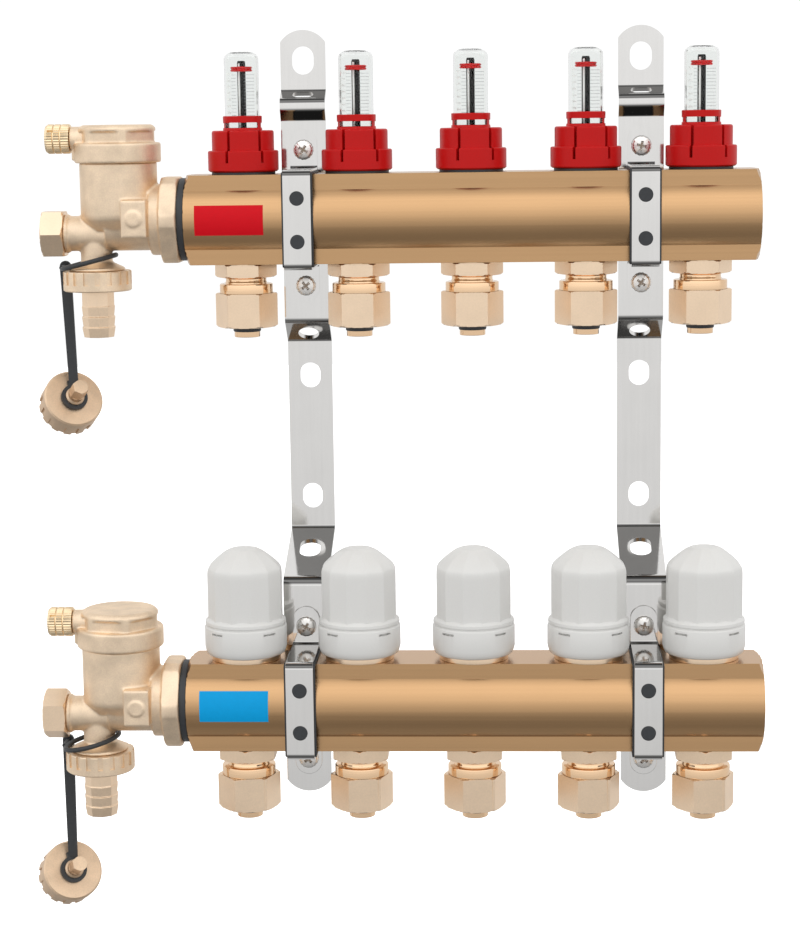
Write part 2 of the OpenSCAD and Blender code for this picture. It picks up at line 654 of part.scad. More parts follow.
// middle of each hanging cap's outer face
face_supply = [peg[0] + 2, 9.4, -80.3];
face_return = [peg[0] + 0.3, 9.4, -81.3];
tilt = 60.66;
turn = -61.97;
strap_y = 10.2;
module loop_part() {
  at_left() {
    translate([spig_x - union_r + 11.7, 0, -18.3]) rotate([0, -14, 0]) rotate_extrude()
      translate([union_r - 4, -0.9]) square([2.2, 1.8]);
    translate([peg[0], 0.5, peg[2]]) rotate([-90, 0, 0]) cylinder(r = 0.9, h = 12);
    translate([peg[0], strap_y + 1.6, peg[2]]) rotate([-90, 0, 0]) cylinder(r = 1.6, h = 0.8);
  }
}
module tether_loops() { color(rubber) { on_supply() loop_part(); on_return() loop_part(); } }
module at_face(face) { translate(face) rotate([0, tilt, turn]) children(); }
module strap_part(face) {
  zb = face[2] + 5.6;
  xb = face[0] - 0.1;
  at_left() {
    translate([0, strap_y + 1.5, 0]) rotate([90, 0, 0]) linear_extrude(1.5) difference() {
      union() {
        translate([peg[0], peg[2]]) circle(r = 2.5);
        polygon([[peg[0] - 2.5, peg[2]], [peg[0] + 2.5, peg[2]], [xb + 2, zb], [xb - 2, zb]]);
      }
      translate([peg[0], peg[2]]) circle(r = 0.95);
    }
    at_face(face) {
      turned(6, 4.25 + run, 0.1, 1.7);
      translate([-8, -2, 0.1]) cube([2.6, 4, 1.6]);
    }
  }
}
module supply_tether() { color(rubber) on_supply() strap_part(face_supply); }
module return_tether() { color(rubber) on_return() strap_part(face_return); }
module drain_cap(face) {
  r = dcap_r;
  at_left() at_face(face) {
    difference() {
      rotate_extrude() polygon([[0, 0], [r - 0.7, 0], [r, -0.7], [r, -10.8], [r - 0.5, -11.3],
        [11.05, -11.3], [11.05, -2.4], [0, -2.4]]);
      grooves(14, r, 0.8, 2.6, -12, -4.2);
    }
    rotate_extrude() polygon([[0, -1], [4.25, -1], [4.25, 2.6], [3.5, 3.6], [3.5, 6], [0, 6]]);
    intersection() {
      translate([0, 0, 5]) cylinder(r = 3.7, h = 8, $fn = 6);
      rotate_extrude() polygon([[0, 5], [4, 5], [4, 12.4], [3.2, 13], [0, 13]]);
    }
  }
}
module supply_drain_cap() { color(cast) on_supply() drain_cap(face_supply); }
module return_drain_cap() { color(cast) on_return() drain_cap(face_return); }

supply_bar();
return_bar();
left_bracket();
right_bracket();
supply_clamps();
return_clamps();
clamp_liners();
clamp_screws();
clamp_nuts();
supply_nipples();
return_nipples();
supply_nuts();
return_nuts();
squeeze_rings();
pipe_inserts();
insert_orings();
flow_bodies();
flow_seals();
sight_glasses();
flow_ring_1();
flow_ring_2();
flow_ring_3();
flow_ring_4();
flow_ring_5();
flow_indicator_1();
flow_indicator_2();
flow_indicator_3();
flow_indicator_4();
flow_indicator_5();
valve_inserts();
handwheel_1();
handwheel_2();
handwheel_3();
handwheel_4();
handwheel_5();
valve_pin_1();
valve_pin_2();
valve_pin_3();
valve_pin_4();
valve_pin_5();
supply_end_body();
return_end_body();
end_seals();
vent_lids();
supply_vent_cap();
return_vent_cap();
drain_bonnets();
supply_drain_spindle();
return_drain_spindle();
supply_union_nut();
return_union_nut();
hose_tails();
tether_loops();
supply_tether();
return_tether();
supply_drain_cap();
return_drain_cap();
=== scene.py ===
# %% [markdown]
# # An underfloor heating manifold
#
# The manifold is two brass bars on a pair of bent steel brackets. The upper bar feeds five heating
# circuits through flow meters, the lower bar takes the water back through valves with white hand caps.
# An air vent and a drain unit are screwed into the left end of each bar. The engineering model gives
# the size and the place of every part. This script gives each part its finish, and models again the
# parts whose real shape is softer or richer than the engineering model's.

# %% Load the frame
import json
import math
import bpy
from mathutils import Matrix, Vector


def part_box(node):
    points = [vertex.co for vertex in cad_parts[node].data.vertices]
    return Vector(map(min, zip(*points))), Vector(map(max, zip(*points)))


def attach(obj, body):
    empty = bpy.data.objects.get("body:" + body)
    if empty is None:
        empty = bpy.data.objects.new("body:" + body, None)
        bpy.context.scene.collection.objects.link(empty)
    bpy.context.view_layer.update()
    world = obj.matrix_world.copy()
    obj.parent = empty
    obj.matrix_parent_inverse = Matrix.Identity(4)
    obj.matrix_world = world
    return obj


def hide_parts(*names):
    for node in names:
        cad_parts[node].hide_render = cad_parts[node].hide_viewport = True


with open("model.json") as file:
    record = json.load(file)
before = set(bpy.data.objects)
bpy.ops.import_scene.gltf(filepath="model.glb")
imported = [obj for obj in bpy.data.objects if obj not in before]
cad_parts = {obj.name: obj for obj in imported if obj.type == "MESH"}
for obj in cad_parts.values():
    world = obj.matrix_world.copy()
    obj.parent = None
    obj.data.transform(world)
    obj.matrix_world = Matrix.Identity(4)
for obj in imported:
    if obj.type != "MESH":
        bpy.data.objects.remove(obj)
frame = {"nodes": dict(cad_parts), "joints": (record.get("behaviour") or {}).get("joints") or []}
bpy.ops.object.select_all(action="DESELECT")
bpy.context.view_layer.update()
nodes = frame["nodes"]
joints = {joint["name"]: joint for joint in frame["joints"]}
print("nodes:", len(nodes), "joints:", len(joints))

# %% [markdown]
# Every size below is in millimetres, as on a workshop drawing, and `MM` turns it into Blender's
# metres. The places come from the frame: the boxes of the two bars give their axes, and the joints
# of the flow meters give the five circuits.

# %% Places taken from the frame
MM = 0.001
ROOT = "manifold"
SIDES = ("supply", "return")


def middle(node):
    low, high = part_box(node)
    return (low + high) / 2


axis = {side: middle(f"{side}_bar") for side in SIDES}
bar_low, bar_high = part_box("supply_bar")
bar_length = (bar_high.x - bar_low.x) / MM
bar_half = (bar_high.z - bar_low.z) / MM / 2
circuit_x = [joints[f"flow_ring_{n}_turn"]["pos_m"][0] for n in range(1, 6)]


def at(side, x, z=0.0, y=0.0):
    """A place in metres: x in metres, y and z in millimetres from the bar's axis."""
    return Vector((x, axis[side].y + y * MM, axis[side].z + z * MM))


print("bar", round(bar_length), "mm long, circuits at", [round(x / MM) for x in circuit_x])

# %% [markdown]
# ## Working by hand, in code
#
# The operators in `bpy.ops` do what the menus do: they act on whatever is selected. So each helper
# first clears the selection, then selects what it needs.

# %% Selecting and editing
def only(*objects):
    """Selects these objects and nothing else; the first one is active."""
    if bpy.context.object and bpy.context.object.mode != "OBJECT":
        bpy.ops.object.mode_set(mode="OBJECT")
    bpy.ops.object.select_all(action="DESELECT")
    for item in objects:
        item.select_set(True)
    bpy.context.view_layer.objects.active = objects[0]
    return objects[0]


def edit(obj, mode="VERT"):
    only(obj)
    bpy.ops.object.mode_set(mode="EDIT")
    bpy.ops.mesh.select_mode(type=mode)


def leave():
    bpy.ops.object.mode_set(mode="OBJECT")


def settle(obj):
    """Puts an object's place, turn and size into its mesh."""
    only(obj)
    bpy.ops.object.transform_apply(location=True, rotation=True, scale=True)
    return obj


def close_up(obj, distance=0.001):
    """Merges points that lie together and turns all faces outwards."""
    edit(obj)
    bpy.ops.mesh.select_all(action="SELECT")
    bpy.ops.mesh.remove_doubles(threshold=distance * MM)
    bpy.ops.mesh.normals_make_consistent(inside=False)
    leave()
    return obj


def pick_faces(obj, test):
    """Selects the faces whose centre and normal pass the test, in object mode."""
    edit(obj, "FACE")
    bpy.ops.mesh.select_all(action="DESELECT")
    leave()
    for face in obj.data.polygons:
        face.select = test(face.center / MM, face.normal)
    edit(obj, "FACE")


def keep_and_cap(obj):
    """Deletes the selected faces of a ring and closes the two ends that are left."""
    bpy.ops.mesh.delete(type="FACE")
    leave()
    edit(obj, "EDGE")
    bpy.ops.mesh.select_all(action="DESELECT")
    bpy.ops.mesh.select_non_manifold()
    bpy.ops.mesh.edge_face_add()
    leave()
    return close_up(obj)


# %% [markdown]
# A **modifier** keeps its settings until it is applied. Here each one is applied at once, so that the
# piece that is left is plain mesh. `soft_edges` is the one used most: real parts have no razor edges,
# and the small rounding is what catches the light.

# %% Modifiers, applied at once
def apply_modifier(obj, kind, **settings):
    only(obj)
    modifier = obj.modifiers.new(kind.title(), kind)
    for name, value in settings.items():
        setattr(modifier, name, value)
    bpy.ops.object.modifier_apply(modifier=modifier.name)
    return obj


def cut(obj, *tools, operation="DIFFERENCE"):
    """Boolean with each tool in turn; the tools are used up."""
    for tool in tools:
        apply_modifier(obj, "BOOLEAN", object=tool, operation=operation, solver="EXACT")
        bpy.data.objects.remove(tool)
    return obj


def join(*objects):
    only(*objects)
    bpy.ops.object.join()
    return objects[0]


def smooth(obj, angle=35):
    only(obj)
    bpy.ops.object.shade_smooth_by_angle(angle=math.radians(angle))
    return obj


def soft_edges(obj, width, segments=2, angle=32):
    apply_modifier(obj, "BEVEL", width=width * MM, segments=segments, limit_method="ANGLE",
                   angle_limit=math.radians(angle), use_clamp_overlap=True, harden_normals=False)
    smooth(obj, 40)
    return apply_modifier(obj, "WEIGHTED_NORMAL", keep_sharp=True, weight=60)


# %% [markdown]
# Most fittings are **turned**: a lathe drawing is a list of radii and heights. `turn` starts with a
# circle, then extrudes and scales it from one ring to the next. A radius of nought closes the end.

# %% Turning a profile
def turn(name, profile, place=Vector(), steps=96):
    """profile: (radius, height) in millimetres, from ring to ring. A profile that ends where it
    began makes a closed tube."""
    bpy.ops.object.select_all(action="DESELECT")
    radius, height = profile[0]
    bpy.ops.mesh.primitive_circle_add(vertices=steps, radius=1.0)
    obj = bpy.context.object
    obj.name = name
    bpy.ops.object.mode_set(mode="EDIT")
    bpy.ops.mesh.select_mode(type="EDGE")
    bpy.ops.mesh.select_all(action="SELECT")
    size = max(radius, 0.001) * MM
    bpy.ops.transform.resize(value=(size, size, 1))
    bpy.ops.transform.translate(value=(0, 0, height * MM))
    for radius, new_height in profile[1:]:
        rise = (new_height - height) * MM
        bpy.ops.mesh.extrude_edges_move(TRANSFORM_OT_translate={"value": (0, 0, rise)})
        new_size = max(radius, 0.001) * MM
        scale = new_size / size
        bpy.ops.transform.resize(value=(scale, scale, 1))
        size, height = new_size, new_height
    bpy.ops.mesh.select_all(action="SELECT")
    bpy.ops.mesh.remove_doubles(threshold=0.004 * MM)
    bpy.ops.mesh.normals_make_consistent(inside=False)
    leave()
    obj.location = place
    return settle(obj)


def rounded(corner, radius, start, end, steps=4):
    """Points of an arc about a corner's centre, for a rounded shoulder in a profile."""
    angles = [math.radians(start + (end - start) * k / steps) for k in range(steps + 1)]
    return [(corner[0] + radius * math.cos(a), corner[1] + radius * math.sin(a)) for a in angles]


def prism(name, flats, low, high, place=Vector(), sides=6, turned=0.0):
    """A bar of so many sides, measured across its flats, with a corner pointing along +X."""
    bpy.ops.object.select_all(action="DESELECT")
    corner = flats / 2 / math.cos(math.pi / sides)
    bpy.ops.mesh.primitive_cylinder_add(vertices=sides, radius=corner * MM, depth=(high - low) * MM,
                                        location=(0, 0, (low + high) / 2 * MM))
    obj = bpy.context.object
    obj.name = name
    obj.rotation_euler.z = math.radians(turned) + (0 if sides % 2 else math.pi / 2)
    settle(obj)
    obj.location = place
    return settle(obj)


def block(size, place=(0, 0, 0), turned=(0, 0, 0)):
    """A plain cutter, in millimetres."""
    bpy.ops.object.select_all(action="DESELECT")
    bpy.ops.mesh.primitive_cube_add(size=1)
    obj = bpy.context.object
    obj.scale = Vector(size) * MM
    obj.rotation_euler = [math.radians(a) for a in turned]
    obj.location = Vector(place) * MM
    return settle(obj)


def extruded(name, outline, low, high):
    """A closed outline of (x, y) points in millimetres, extruded along Z."""
    bpy.ops.object.select_all(action="DESELECT")
    bpy.ops.mesh.primitive_circle_add(vertices=len(outline), radius=1.0, fill_type="NGON")
    obj = bpy.context.object
    obj.name = name
    for point, (x, y) in zip(obj.data.vertices, outline):
        point.co = Vector((x, y, low)) * MM
    edit(obj)
    bpy.ops.mesh.select_all(action="SELECT")
    bpy.ops.mesh.extrude_region_move(TRANSFORM_OT_translate={"value": (0, 0, (high - low) * MM)})
    leave()
    return close_up(obj)


def copy_to(obj, name, move=Vector()):
    twin = obj.copy()
    twin.data = obj.data.copy()
    twin.name = twin.data.name = name
    bpy.context.scene.collection.objects.link(twin)
    twin.data.transform(Matrix.Translation(move))
    return twin


# %% [markdown]
# ## Finishes
#
# Each finish is a node material. Noise on **Object coordinates** varies colour and roughness and
# drives a fine bump, stretched along the direction in which the real surface was worked: along the
# bar for drawn brass, round and round for turned brass, no direction at all for a blasted casting.

# %% Brightness by direction
def brightness_by_height(tree, height, stops):
    """A colour ramp over the height of a direction, from -90 (down) to 90 degrees (up)."""
    scaled = tree.nodes.new("ShaderNodeMath")
    scaled.operation = "MULTIPLY_ADD"
    scaled.inputs[1].default_value = 0.5
    scaled.inputs[2].default_value = 0.5
    tree.links.new(height, scaled.inputs[0])
    ramp = tree.nodes.new("ShaderNodeValToRGB")
    elements = ramp.color_ramp.elements
    while len(elements) > 1:
        elements.remove(elements[-1])
    for count, (degrees, bright) in enumerate(stops):
        position = math.sin(math.radians(degrees)) / 2 + 0.5
        element = elements[0] if count == 0 else elements.new(position)
        element.position = position
        element.color = (bright, bright, bright, 1)
    tree.links.new(scaled.outputs["Value"], ramp.inputs["Fac"])
    return ramp.outputs["Color"]


def brightness_around(tree, direction, front, back):
    """One ramp for directions to the front (-Y), another for directions to the back."""
    parts = tree.nodes.new("ShaderNodeSeparateXYZ")
    tree.links.new(direction, parts.inputs["Vector"])
    side_of = tree.nodes.new("ShaderNodeMapRange")
    side_of.inputs["From Min"].default_value = -0.12
    side_of.inputs["From Max"].default_value = 0.12
    tree.links.new(parts.outputs["Y"], side_of.inputs["Value"])
    around = tree.nodes.new("ShaderNodeMix")
    around.data_type = "RGBA"
    tree.links.new(side_of.outputs["Result"], around.inputs["Factor"])
    tree.links.new(brightness_by_height(tree, parts.outputs["Z"], front), around.inputs["A"])
    tree.links.new(brightness_by_height(tree, parts.outputs["Z"], back), around.inputs["B"])
    return around.outputs["Result"]


# %% A material with worked surface
def finish(name, colour, metal=0.0, rough=0.4, grain=(400, 400, 400), bump=0.05, vary=0.05,
           rough_vary=0.05, patch=40.0, patch_vary=0.0, **sockets):
    """grain: how fine the noise is along X, Y and Z, per metre. vary and rough_vary: how much it
    changes colour and roughness. patch: the scale of a second, coarse noise."""
    material = bpy.data.materials.new(name)
    material.use_nodes = True
    tree = material.node_tree
    tree.nodes.clear()
    new, link = tree.nodes.new, tree.links.new
    output = new("ShaderNodeOutputMaterial")
    surface = new("ShaderNodeBsdfPrincipled")
    link(surface.outputs["BSDF"], output.inputs["Surface"])
    surface.inputs["Metallic"].default_value = metal
    for socket, value in sockets.items():
        surface.inputs[socket.replace("_", " ")].default_value = value
    place = new("ShaderNodeTexCoord")
    stretch = new("ShaderNodeMapping")
    stretch.inputs["Scale"].default_value = grain
    link(place.outputs["Object"], stretch.inputs["Vector"])
    fine = new("ShaderNodeTexNoise")
    fine.inputs["Scale"].default_value = 1.0
    fine.inputs["Detail"].default_value = 3.0
    link(stretch.outputs["Vector"], fine.inputs["Vector"])
    coarse = new("ShaderNodeTexNoise")
    coarse.inputs["Scale"].default_value = patch
    coarse.inputs["Detail"].default_value = 2.0
    link(place.outputs["Object"], coarse.inputs["Vector"])

    def shades(noise, amount, base):
        ramp = new("ShaderNodeValToRGB")
        ramp.color_ramp.elements[0].position = 0.3
        ramp.color_ramp.elements[1].position = 0.7
        ramp.color_ramp.elements[0].color = [c * (1 - amount) for c in base[:3]] + [1]
        ramp.color_ramp.elements[1].color = [min(1, c * (1 + amount)) for c in base[:3]] + [1]
        link(noise.outputs["Fac"], ramp.inputs["Fac"])
        return ramp

    tint = shades(fine, vary, colour)
    mottle = shades(coarse, patch_vary, (1 / (1 + patch_vary),) * 3)
    mix = new("ShaderNodeMix")
    mix.data_type = "RGBA"
    mix.blend_type = "MULTIPLY"
    mix.inputs["Factor"].default_value = 1.0
    link(tint.outputs["Color"], mix.inputs["A"])
    link(mottle.outputs["Color"], mix.inputs["B"])
    link(mix.outputs["Result"], surface.inputs["Base Color"])
    spread = new("ShaderNodeMapRange")
    spread.inputs["From Min"].default_value = 0.3
    spread.inputs["From Max"].default_value = 0.7
    spread.inputs["To Min"].default_value = rough - rough_vary
    spread.inputs["To Max"].default_value = rough + rough_vary
    link(fine.outputs["Fac"], spread.inputs["Value"])
    link(spread.outputs["Result"], surface.inputs["Roughness"])
    relief = new("ShaderNodeBump")
    relief.inputs["Strength"].default_value = bump
    relief.inputs["Distance"].default_value = 0.1 * MM
    link(fine.outputs["Fac"], relief.inputs["Height"])
    link(relief.outputs["Normal"], surface.inputs["Normal"])
    return material


drawn_brass = finish("drawn_brass", (0.59, 0.362, 0.185), metal=1.0, rough=0.24, grain=(3, 900, 900),
                     bump=0.03, vary=0.035, rough_vary=0.03, patch=18, patch_vary=0.02)
turned_brass = finish("turned_brass", (0.86, 0.60, 0.38), metal=1.0, rough=0.10,
                      grain=(60, 60, 2500), bump=0.08, vary=0.03, rough_vary=0.03)
nut_brass = finish("nut_brass", (0.96, 0.745, 0.54), metal=1.0, rough=0.34, grain=(1200, 1200, 1200),
                   bump=0.06, vary=0.03, rough_vary=0.06, patch=90, patch_vary=0.03)
blasted_brass = finish("blasted_brass", (0.98, 0.775, 0.58), metal=1.0, rough=0.54,
                       grain=(1500, 1500, 1500), bump=0.5, vary=0.07, rough_vary=0.06, patch=120,
                       patch_vary=0.09)
dull_brass = finish("dull_brass", (0.78, 0.585, 0.41), metal=1.0, rough=0.46, grain=(1500, 1500, 1500),
                    bump=0.4, vary=0.07, rough_vary=0.06, patch=120, patch_vary=0.09)
plated_steel = finish("plated_steel", (0.80, 0.79, 0.775), metal=1.0, rough=0.07,
                      grain=(700, 700, 20), bump=0.01, vary=0.015, rough_vary=0.02, patch=60,
                      patch_vary=0.015)
black_rubber = finish("black_rubber", (0.030, 0.033, 0.037), rough=0.50, grain=(900, 900, 900),
                      bump=0.15, vary=0.15, rough_vary=0.08)
red_plastic = finish("red_plastic", (0.54, 0.006, 0.006), rough=0.38, grain=(1600, 1600, 1600),
                     bump=0.08, vary=0.03, rough_vary=0.05, Specular_IOR_Level=0.18)
white_plastic = finish("white_plastic", (0.72, 0.715, 0.695), rough=0.34, grain=(1400, 1400, 1400),
                       bump=0.08, vary=0.01, rough_vary=0.05, patch=30, patch_vary=0.01)
clear_plastic = finish("clear_plastic", (0.97, 0.985, 0.975), rough=0.03, grain=(500, 500, 500),
                       bump=0.01, vary=0.005, rough_vary=0.01, Transmission_Weight=1.0, IOR=1.22)


def paint_dark_reflection(material):
    """Painted reflection: darkens bright plating's colour as if it mirrored a dark roof, wherever the
    mirrored direction points up and to the front.
    """
    tree = material.node_tree
    surface = next(node for node in tree.nodes if node.type == "BSDF_PRINCIPLED")
    colour = surface.inputs["Base Color"].links[0].from_socket
    mirrored = tree.nodes.new("ShaderNodeTexCoord").outputs["Reflection"]
    front = [(-90, 0.25), (-62, 0.25), (-40, 0.5), (-25, 1.0), (6, 1.0), (16, 0.45), (30, 0.10),
             (42, 0.20), (54, 0.20), (64, 0.07), (90, 0.05)]
    back = [(-90, 1.0), (66, 1.0), (80, 0.5), (90, 0.05)]
    shade = tree.nodes.new("ShaderNodeMix")
    shade.data_type = "RGBA"
    shade.blend_type = "MULTIPLY"
    shade.inputs["Factor"].default_value = 1.0
    tree.links.new(colour, shade.inputs["A"])
    tree.links.new(brightness_around(tree, mirrored, front, back), shade.inputs["B"])
    tree.links.new(shade.outputs["Result"], surface.inputs["Base Color"])
    return material


# Painted reflection: the plated steel's colour is darkened wherever it mirrors directions up and to the
# front.
paint_dark_reflection(plated_steel)
print("finishes:", len(bpy.data.materials))


# %% [markdown]
# `piece` is the last step for everything modelled here. It names the object, gives it its finish,
# lets it ride on the body that carries it, and hides the engineering part it stands for.

# %% Handing a piece to the frame
def piece(obj, name, material, body=ROOT, stands_for=()):
    obj.name = obj.data.name = name
    if not obj.data.materials:
        obj.data.materials.append(material)
    settle(obj)
    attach(obj, body)
    if stands_for:
        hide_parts(*([stands_for] if isinstance(stands_for, str) else stands_for))
    return obj


def merged_copy(node):
    """A copy of an engineering part, with its loose triangles sewn together into flat faces."""
    twin = copy_to(nodes[node], f"copy_of_{node}")
    twin.parent = None
    for key in list(twin.keys()):
        del twin[key]
    twin.data.materials.clear()
    only(twin)
    if twin.data.has_custom_normals:
        bpy.ops.mesh.customdata_custom_splitnormals_clear()
    close_up(twin, 0.002)
    edit(twin)
    bpy.ops.mesh.select_all(action="SELECT")
    bpy.ops.mesh.dissolve_limited(angle_limit=math.radians(0.6))
    leave()
    return twin


def dressed(node, material, bevel=0.25, body=ROOT, segments=2, name=None):
    """An engineering part whose shape is right: its edges are softened and it gets its finish."""
    obj = merged_copy(node)
    soft_edges(obj, bevel, segments)
    return piece(obj, name or f"{node}_finished", material, body, node)


# %% [markdown]
# ## The bars
#
# Each bar is one length of pressed brass profile: a round tube with a flat rail above and below. The
# outline starts as a circle whose points are pushed out to the rails, and is then extruded. The ends
# are faced on a lathe, which takes the corners of the rails off in a cone. Each circuit has a port
# drilled straight through, and the flow indicator drops into it.

# %% Two bars
BAR_RADIUS, RAIL_DEPTH = 18.25, 26.0


def bar_outline():
    """Points of the outline in order, with one on each corner of the rails."""
    corner = math.atan2(RAIL_DEPTH / 2, bar_half)
    joint = math.asin(RAIL_DEPTH / 2 / BAR_RADIUS)
    quarter = [(bar_half, 0.0), (bar_half, bar_half * math.tan(corner)),
               (BAR_RADIUS * math.cos(joint), RAIL_DEPTH / 2)]
    steps = 26
    quarter += [(BAR_RADIUS * math.cos(a), BAR_RADIUS * math.sin(a))
                for a in (joint + (math.pi / 2 - joint) * k / steps for k in range(1, steps))]
    half = quarter + [(0.0, BAR_RADIUS)] + [(-x, y) for x, y in reversed(quarter[1:])]
    return half + [(-x, -y) for x, y in half]


def make_bar(side):
    blank = extruded("bar", bar_outline(), 0, bar_length)
    cone = 2.3
    reach = math.hypot(RAIL_DEPTH / 2, bar_half) + 0.3
    facing = turn("facing", [(0, -1), (BAR_RADIUS - 0.9, -1), (BAR_RADIUS + 0.1, 0), (reach, cone),
                             (reach, bar_length - cone), (BAR_RADIUS + 0.1, bar_length),
                             (BAR_RADIUS - 0.9, bar_length + 1), (0, bar_length + 1)], steps=128)
    cut(blank, facing, operation="INTERSECT")
    mouth, bore, depth = 15.2, 13.5, 14.0
    water_way = turn("water_way", [(0, -1), (mouth + 0.9, -1), (mouth, 0.8), (mouth, depth),
                                   (bore, depth + 0.6), (bore, bar_length - depth - 0.6),
                                   (mouth, bar_length - depth), (mouth, bar_length - 0.8),
                                   (mouth + 0.9, bar_length + 1), (0, bar_length + 1)], steps=128)
    cut(blank, water_way)
    blank.rotation_euler = (0, math.pi / 2, 0)
    settle(blank)
    blank.location = at(side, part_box(f"{side}_bar")[0].x)
    settle(blank)
    port_radius, past = 10.0, bar_half + 1
    cut(blank, *[turn("port", [(0, -past), (port_radius, -past), (port_radius, past), (0, past)],
                      at(side, x), 64) for x in circuit_x])
    close_up(blank, 0.01)
    soft_edges(blank, 0.45, 3, 20)
    return piece(blank, f"{side}_bar_profile", drawn_brass, stands_for=f"{side}_bar")


for side in SIDES:
    bar = make_bar(side)
    print(bar.name, len(bar.data.polygons), "faces")

# %% [markdown]
# ## The outlets
#
# Under each circuit sits a compression fitting for the heating pipe: a hexagon, a polished neck and
# collar, and a loose nut over the pipe insert. A hexagon nut is a hexagon bar whose ends were turned:
# the lathe cuts the six corners to arcs. So a hexagon prism is intersected with a turned blank.

# %% Hexagons with turned ends
def hexagon(name, flats, low, high, corner, end, place=Vector(), turned=0.0, lower_end=None):
    """corner: the blank's radius in the middle. end and lower_end: its radius at the two ends."""
    lower = end if lower_end is None else lower_end
    prism_part = prism(name, flats, low, high, turned=turned)
    blank = turn("blank", [(0, low), (lower, low), (corner, low + (corner - lower) * 0.58),
                           (corner, high - (corner - end) * 0.58), (end, high), (0, high)], steps=96)
    cut(prism_part, blank, operation="INTERSECT")
    soft_edges(prism_part, 0.22, 2)
    prism_part.location = place
    return settle(prism_part)


hex_low, neck_low, collar_low = -bar_half - 6, -bar_half - 8.9, -bar_half - 13.1
nut_low = collar_low - 15
outlet_flats = 24.0


def make_nipple(turned):
    """The hexagon, its neck, the round collar and the thread that the nut runs on."""
    six = hexagon("six", outlet_flats, hex_low, -bar_half, 13.5, 12.3, turned=turned)
    neck = turn("neck", [(4.6, neck_low - 7), (9.0, neck_low - 7), (9.2, neck_low), (9.2, hex_low - 2.2),
                         (9.0, hex_low - 2.0), (9.0, hex_low - 0.6), (9.9, hex_low + 0.1), (8, hex_low + 0.5),
                         (4.6, hex_low + 0.5), (4.6, neck_low - 7)])
    smooth(neck, 50)
    collar = turn("collar", [(8.5, neck_low), (11.2, neck_low), (11.6, neck_low - 0.15),
                             (11.75, neck_low - 0.5), (11.75, collar_low + 0.1), (8.5, collar_low + 0.1),
                             (8.5, neck_low)])
    smooth(collar, 40)
    for part in (neck, collar):
        part.data.materials.append(turned_brass)
    six.data.materials.append(nut_brass)
    return join(six, neck, collar)


def make_outlet_nut(turned):
    nut = hexagon("nut", outlet_flats, nut_low, collar_low, 13.55, 12.9, turned=turned, lower_end=12.2)
    hollow = turn("hollow", [(0, nut_low - 1), (6.9, nut_low - 1), (6.2, nut_low + 0.6),
                             (6.2, nut_low + 4.2), (9.6, nut_low + 4.2), (9.6, collar_low + 1),
                             (0, collar_low + 1)], steps=64)
    cut(nut, hollow)
    return smooth(nut, 35)


turned_by = {"supply": {"nipple": 0, "nut": 0}, "return": {"nipple": 30, "nut": 9}}
for side in SIDES:
    nipple = make_nipple(turned_by[side]["nipple"])
    nut = make_outlet_nut(turned_by[side]["nut"])
    row = {"nipples": [], "nuts": []}
    for count, x in enumerate(circuit_x, 1):
        row["nipples"].append(copy_to(nipple, f"nipple_{count}", at(side, x)))
        row["nuts"].append(copy_to(nut, f"nut_{count}", at(side, x)))
    bpy.data.objects.remove(nipple)
    bpy.data.objects.remove(nut)
    piece(join(*row["nipples"]), f"{side}_outlet_nipples", nut_brass,
          stands_for=f"{side}_nipples")
    piece(join(*row["nuts"]), f"{side}_outlet_nuts", nut_brass, stands_for=f"{side}_nuts")
print("outlets:", 2 * len(circuit_x))

# %% Inserts, squeeze rings and seals
dressed("pipe_inserts", turned_brass, 0.25)
dressed("squeeze_rings", nut_brass, 0.15)
dressed("insert_orings", black_rubber, 0.15)
dressed("end_seals", black_rubber, 0.5, segments=3)
dressed("flow_seals", black_rubber, 0.2)
dressed("flow_bodies", turned_brass, 0.2)
dressed("valve_inserts", nut_brass, 0.3)

# %% [markdown]
# ## Brackets and clamps
#
# Bent strip, zinc plated and bright as a mirror. A flat grid is laid along the line that a press
# brake would follow, with a round bend in each corner, and **Solidify** gives it its thickness. The
# ends are then cut round and the holes punched.

# %% Bent strip
def bent_line(corners, bends, steps=8):
    """(y, z) points of a line whose inner corners are rounded with the given radii."""
    corners = [Vector(corner) for corner in corners]
    points = [corners[0]]
    for before, corner, after, bend in zip(corners, corners[1:], corners[2:], bends):
        back, ahead = before - corner, after - corner
        longest = 0.48 * min(back.length, ahead.length)
        back.normalize()
        ahead.normalize()
        half = back.angle(ahead) / 2
        reach = min(bend / math.tan(half), longest)
        centre = corner + (back + ahead).normalized() * reach / math.cos(half)
        start, end = corner + back * reach - centre, corner + ahead * reach - centre
        radius = start.length
        points += [centre + start.slerp(end, k / steps).normalized() * radius
                   for k in range(steps + 1)]
    return points + [corners[-1]]


def bent_strip(name, corners, bends, width, thick, centre):
    line = bent_line(corners, bends)
    bpy.ops.object.select_all(action="DESELECT")
    bpy.ops.mesh.primitive_grid_add(x_subdivisions=1, y_subdivisions=len(line) - 1, size=2)
    strip = bpy.context.object
    strip.name = name
    for point in strip.data.vertices:
        along = line[round((point.co.y + 1) / 2 * (len(line) - 1))]
        point.co = centre + Vector((point.co.x * width / 2, along.x, along.y)) * MM
    close_up(strip)
    apply_modifier(strip, "SOLIDIFY", thickness=thick * MM, offset=0, use_even_offset=True)
    return close_up(strip)


def rounded_outline(across, tall, radius=None, steps=24):
    """A long outline whose two ends are arcs; a radius over half the width makes them flatter."""
    radius = radius or min(across, tall) / 2
    if across > tall:
        return [(y, x) for x, y in rounded_outline(tall, across, radius, steps)]
    reach = math.asin(min(1, across / 2 / radius))
    arc = [(radius * math.sin(a), tall / 2 - radius + radius * math.cos(a))
           for a in (reach * (1 - 2 * k / steps) for k in range(steps + 1))]
    return arc + [(-x, -y) for x, y in arc]


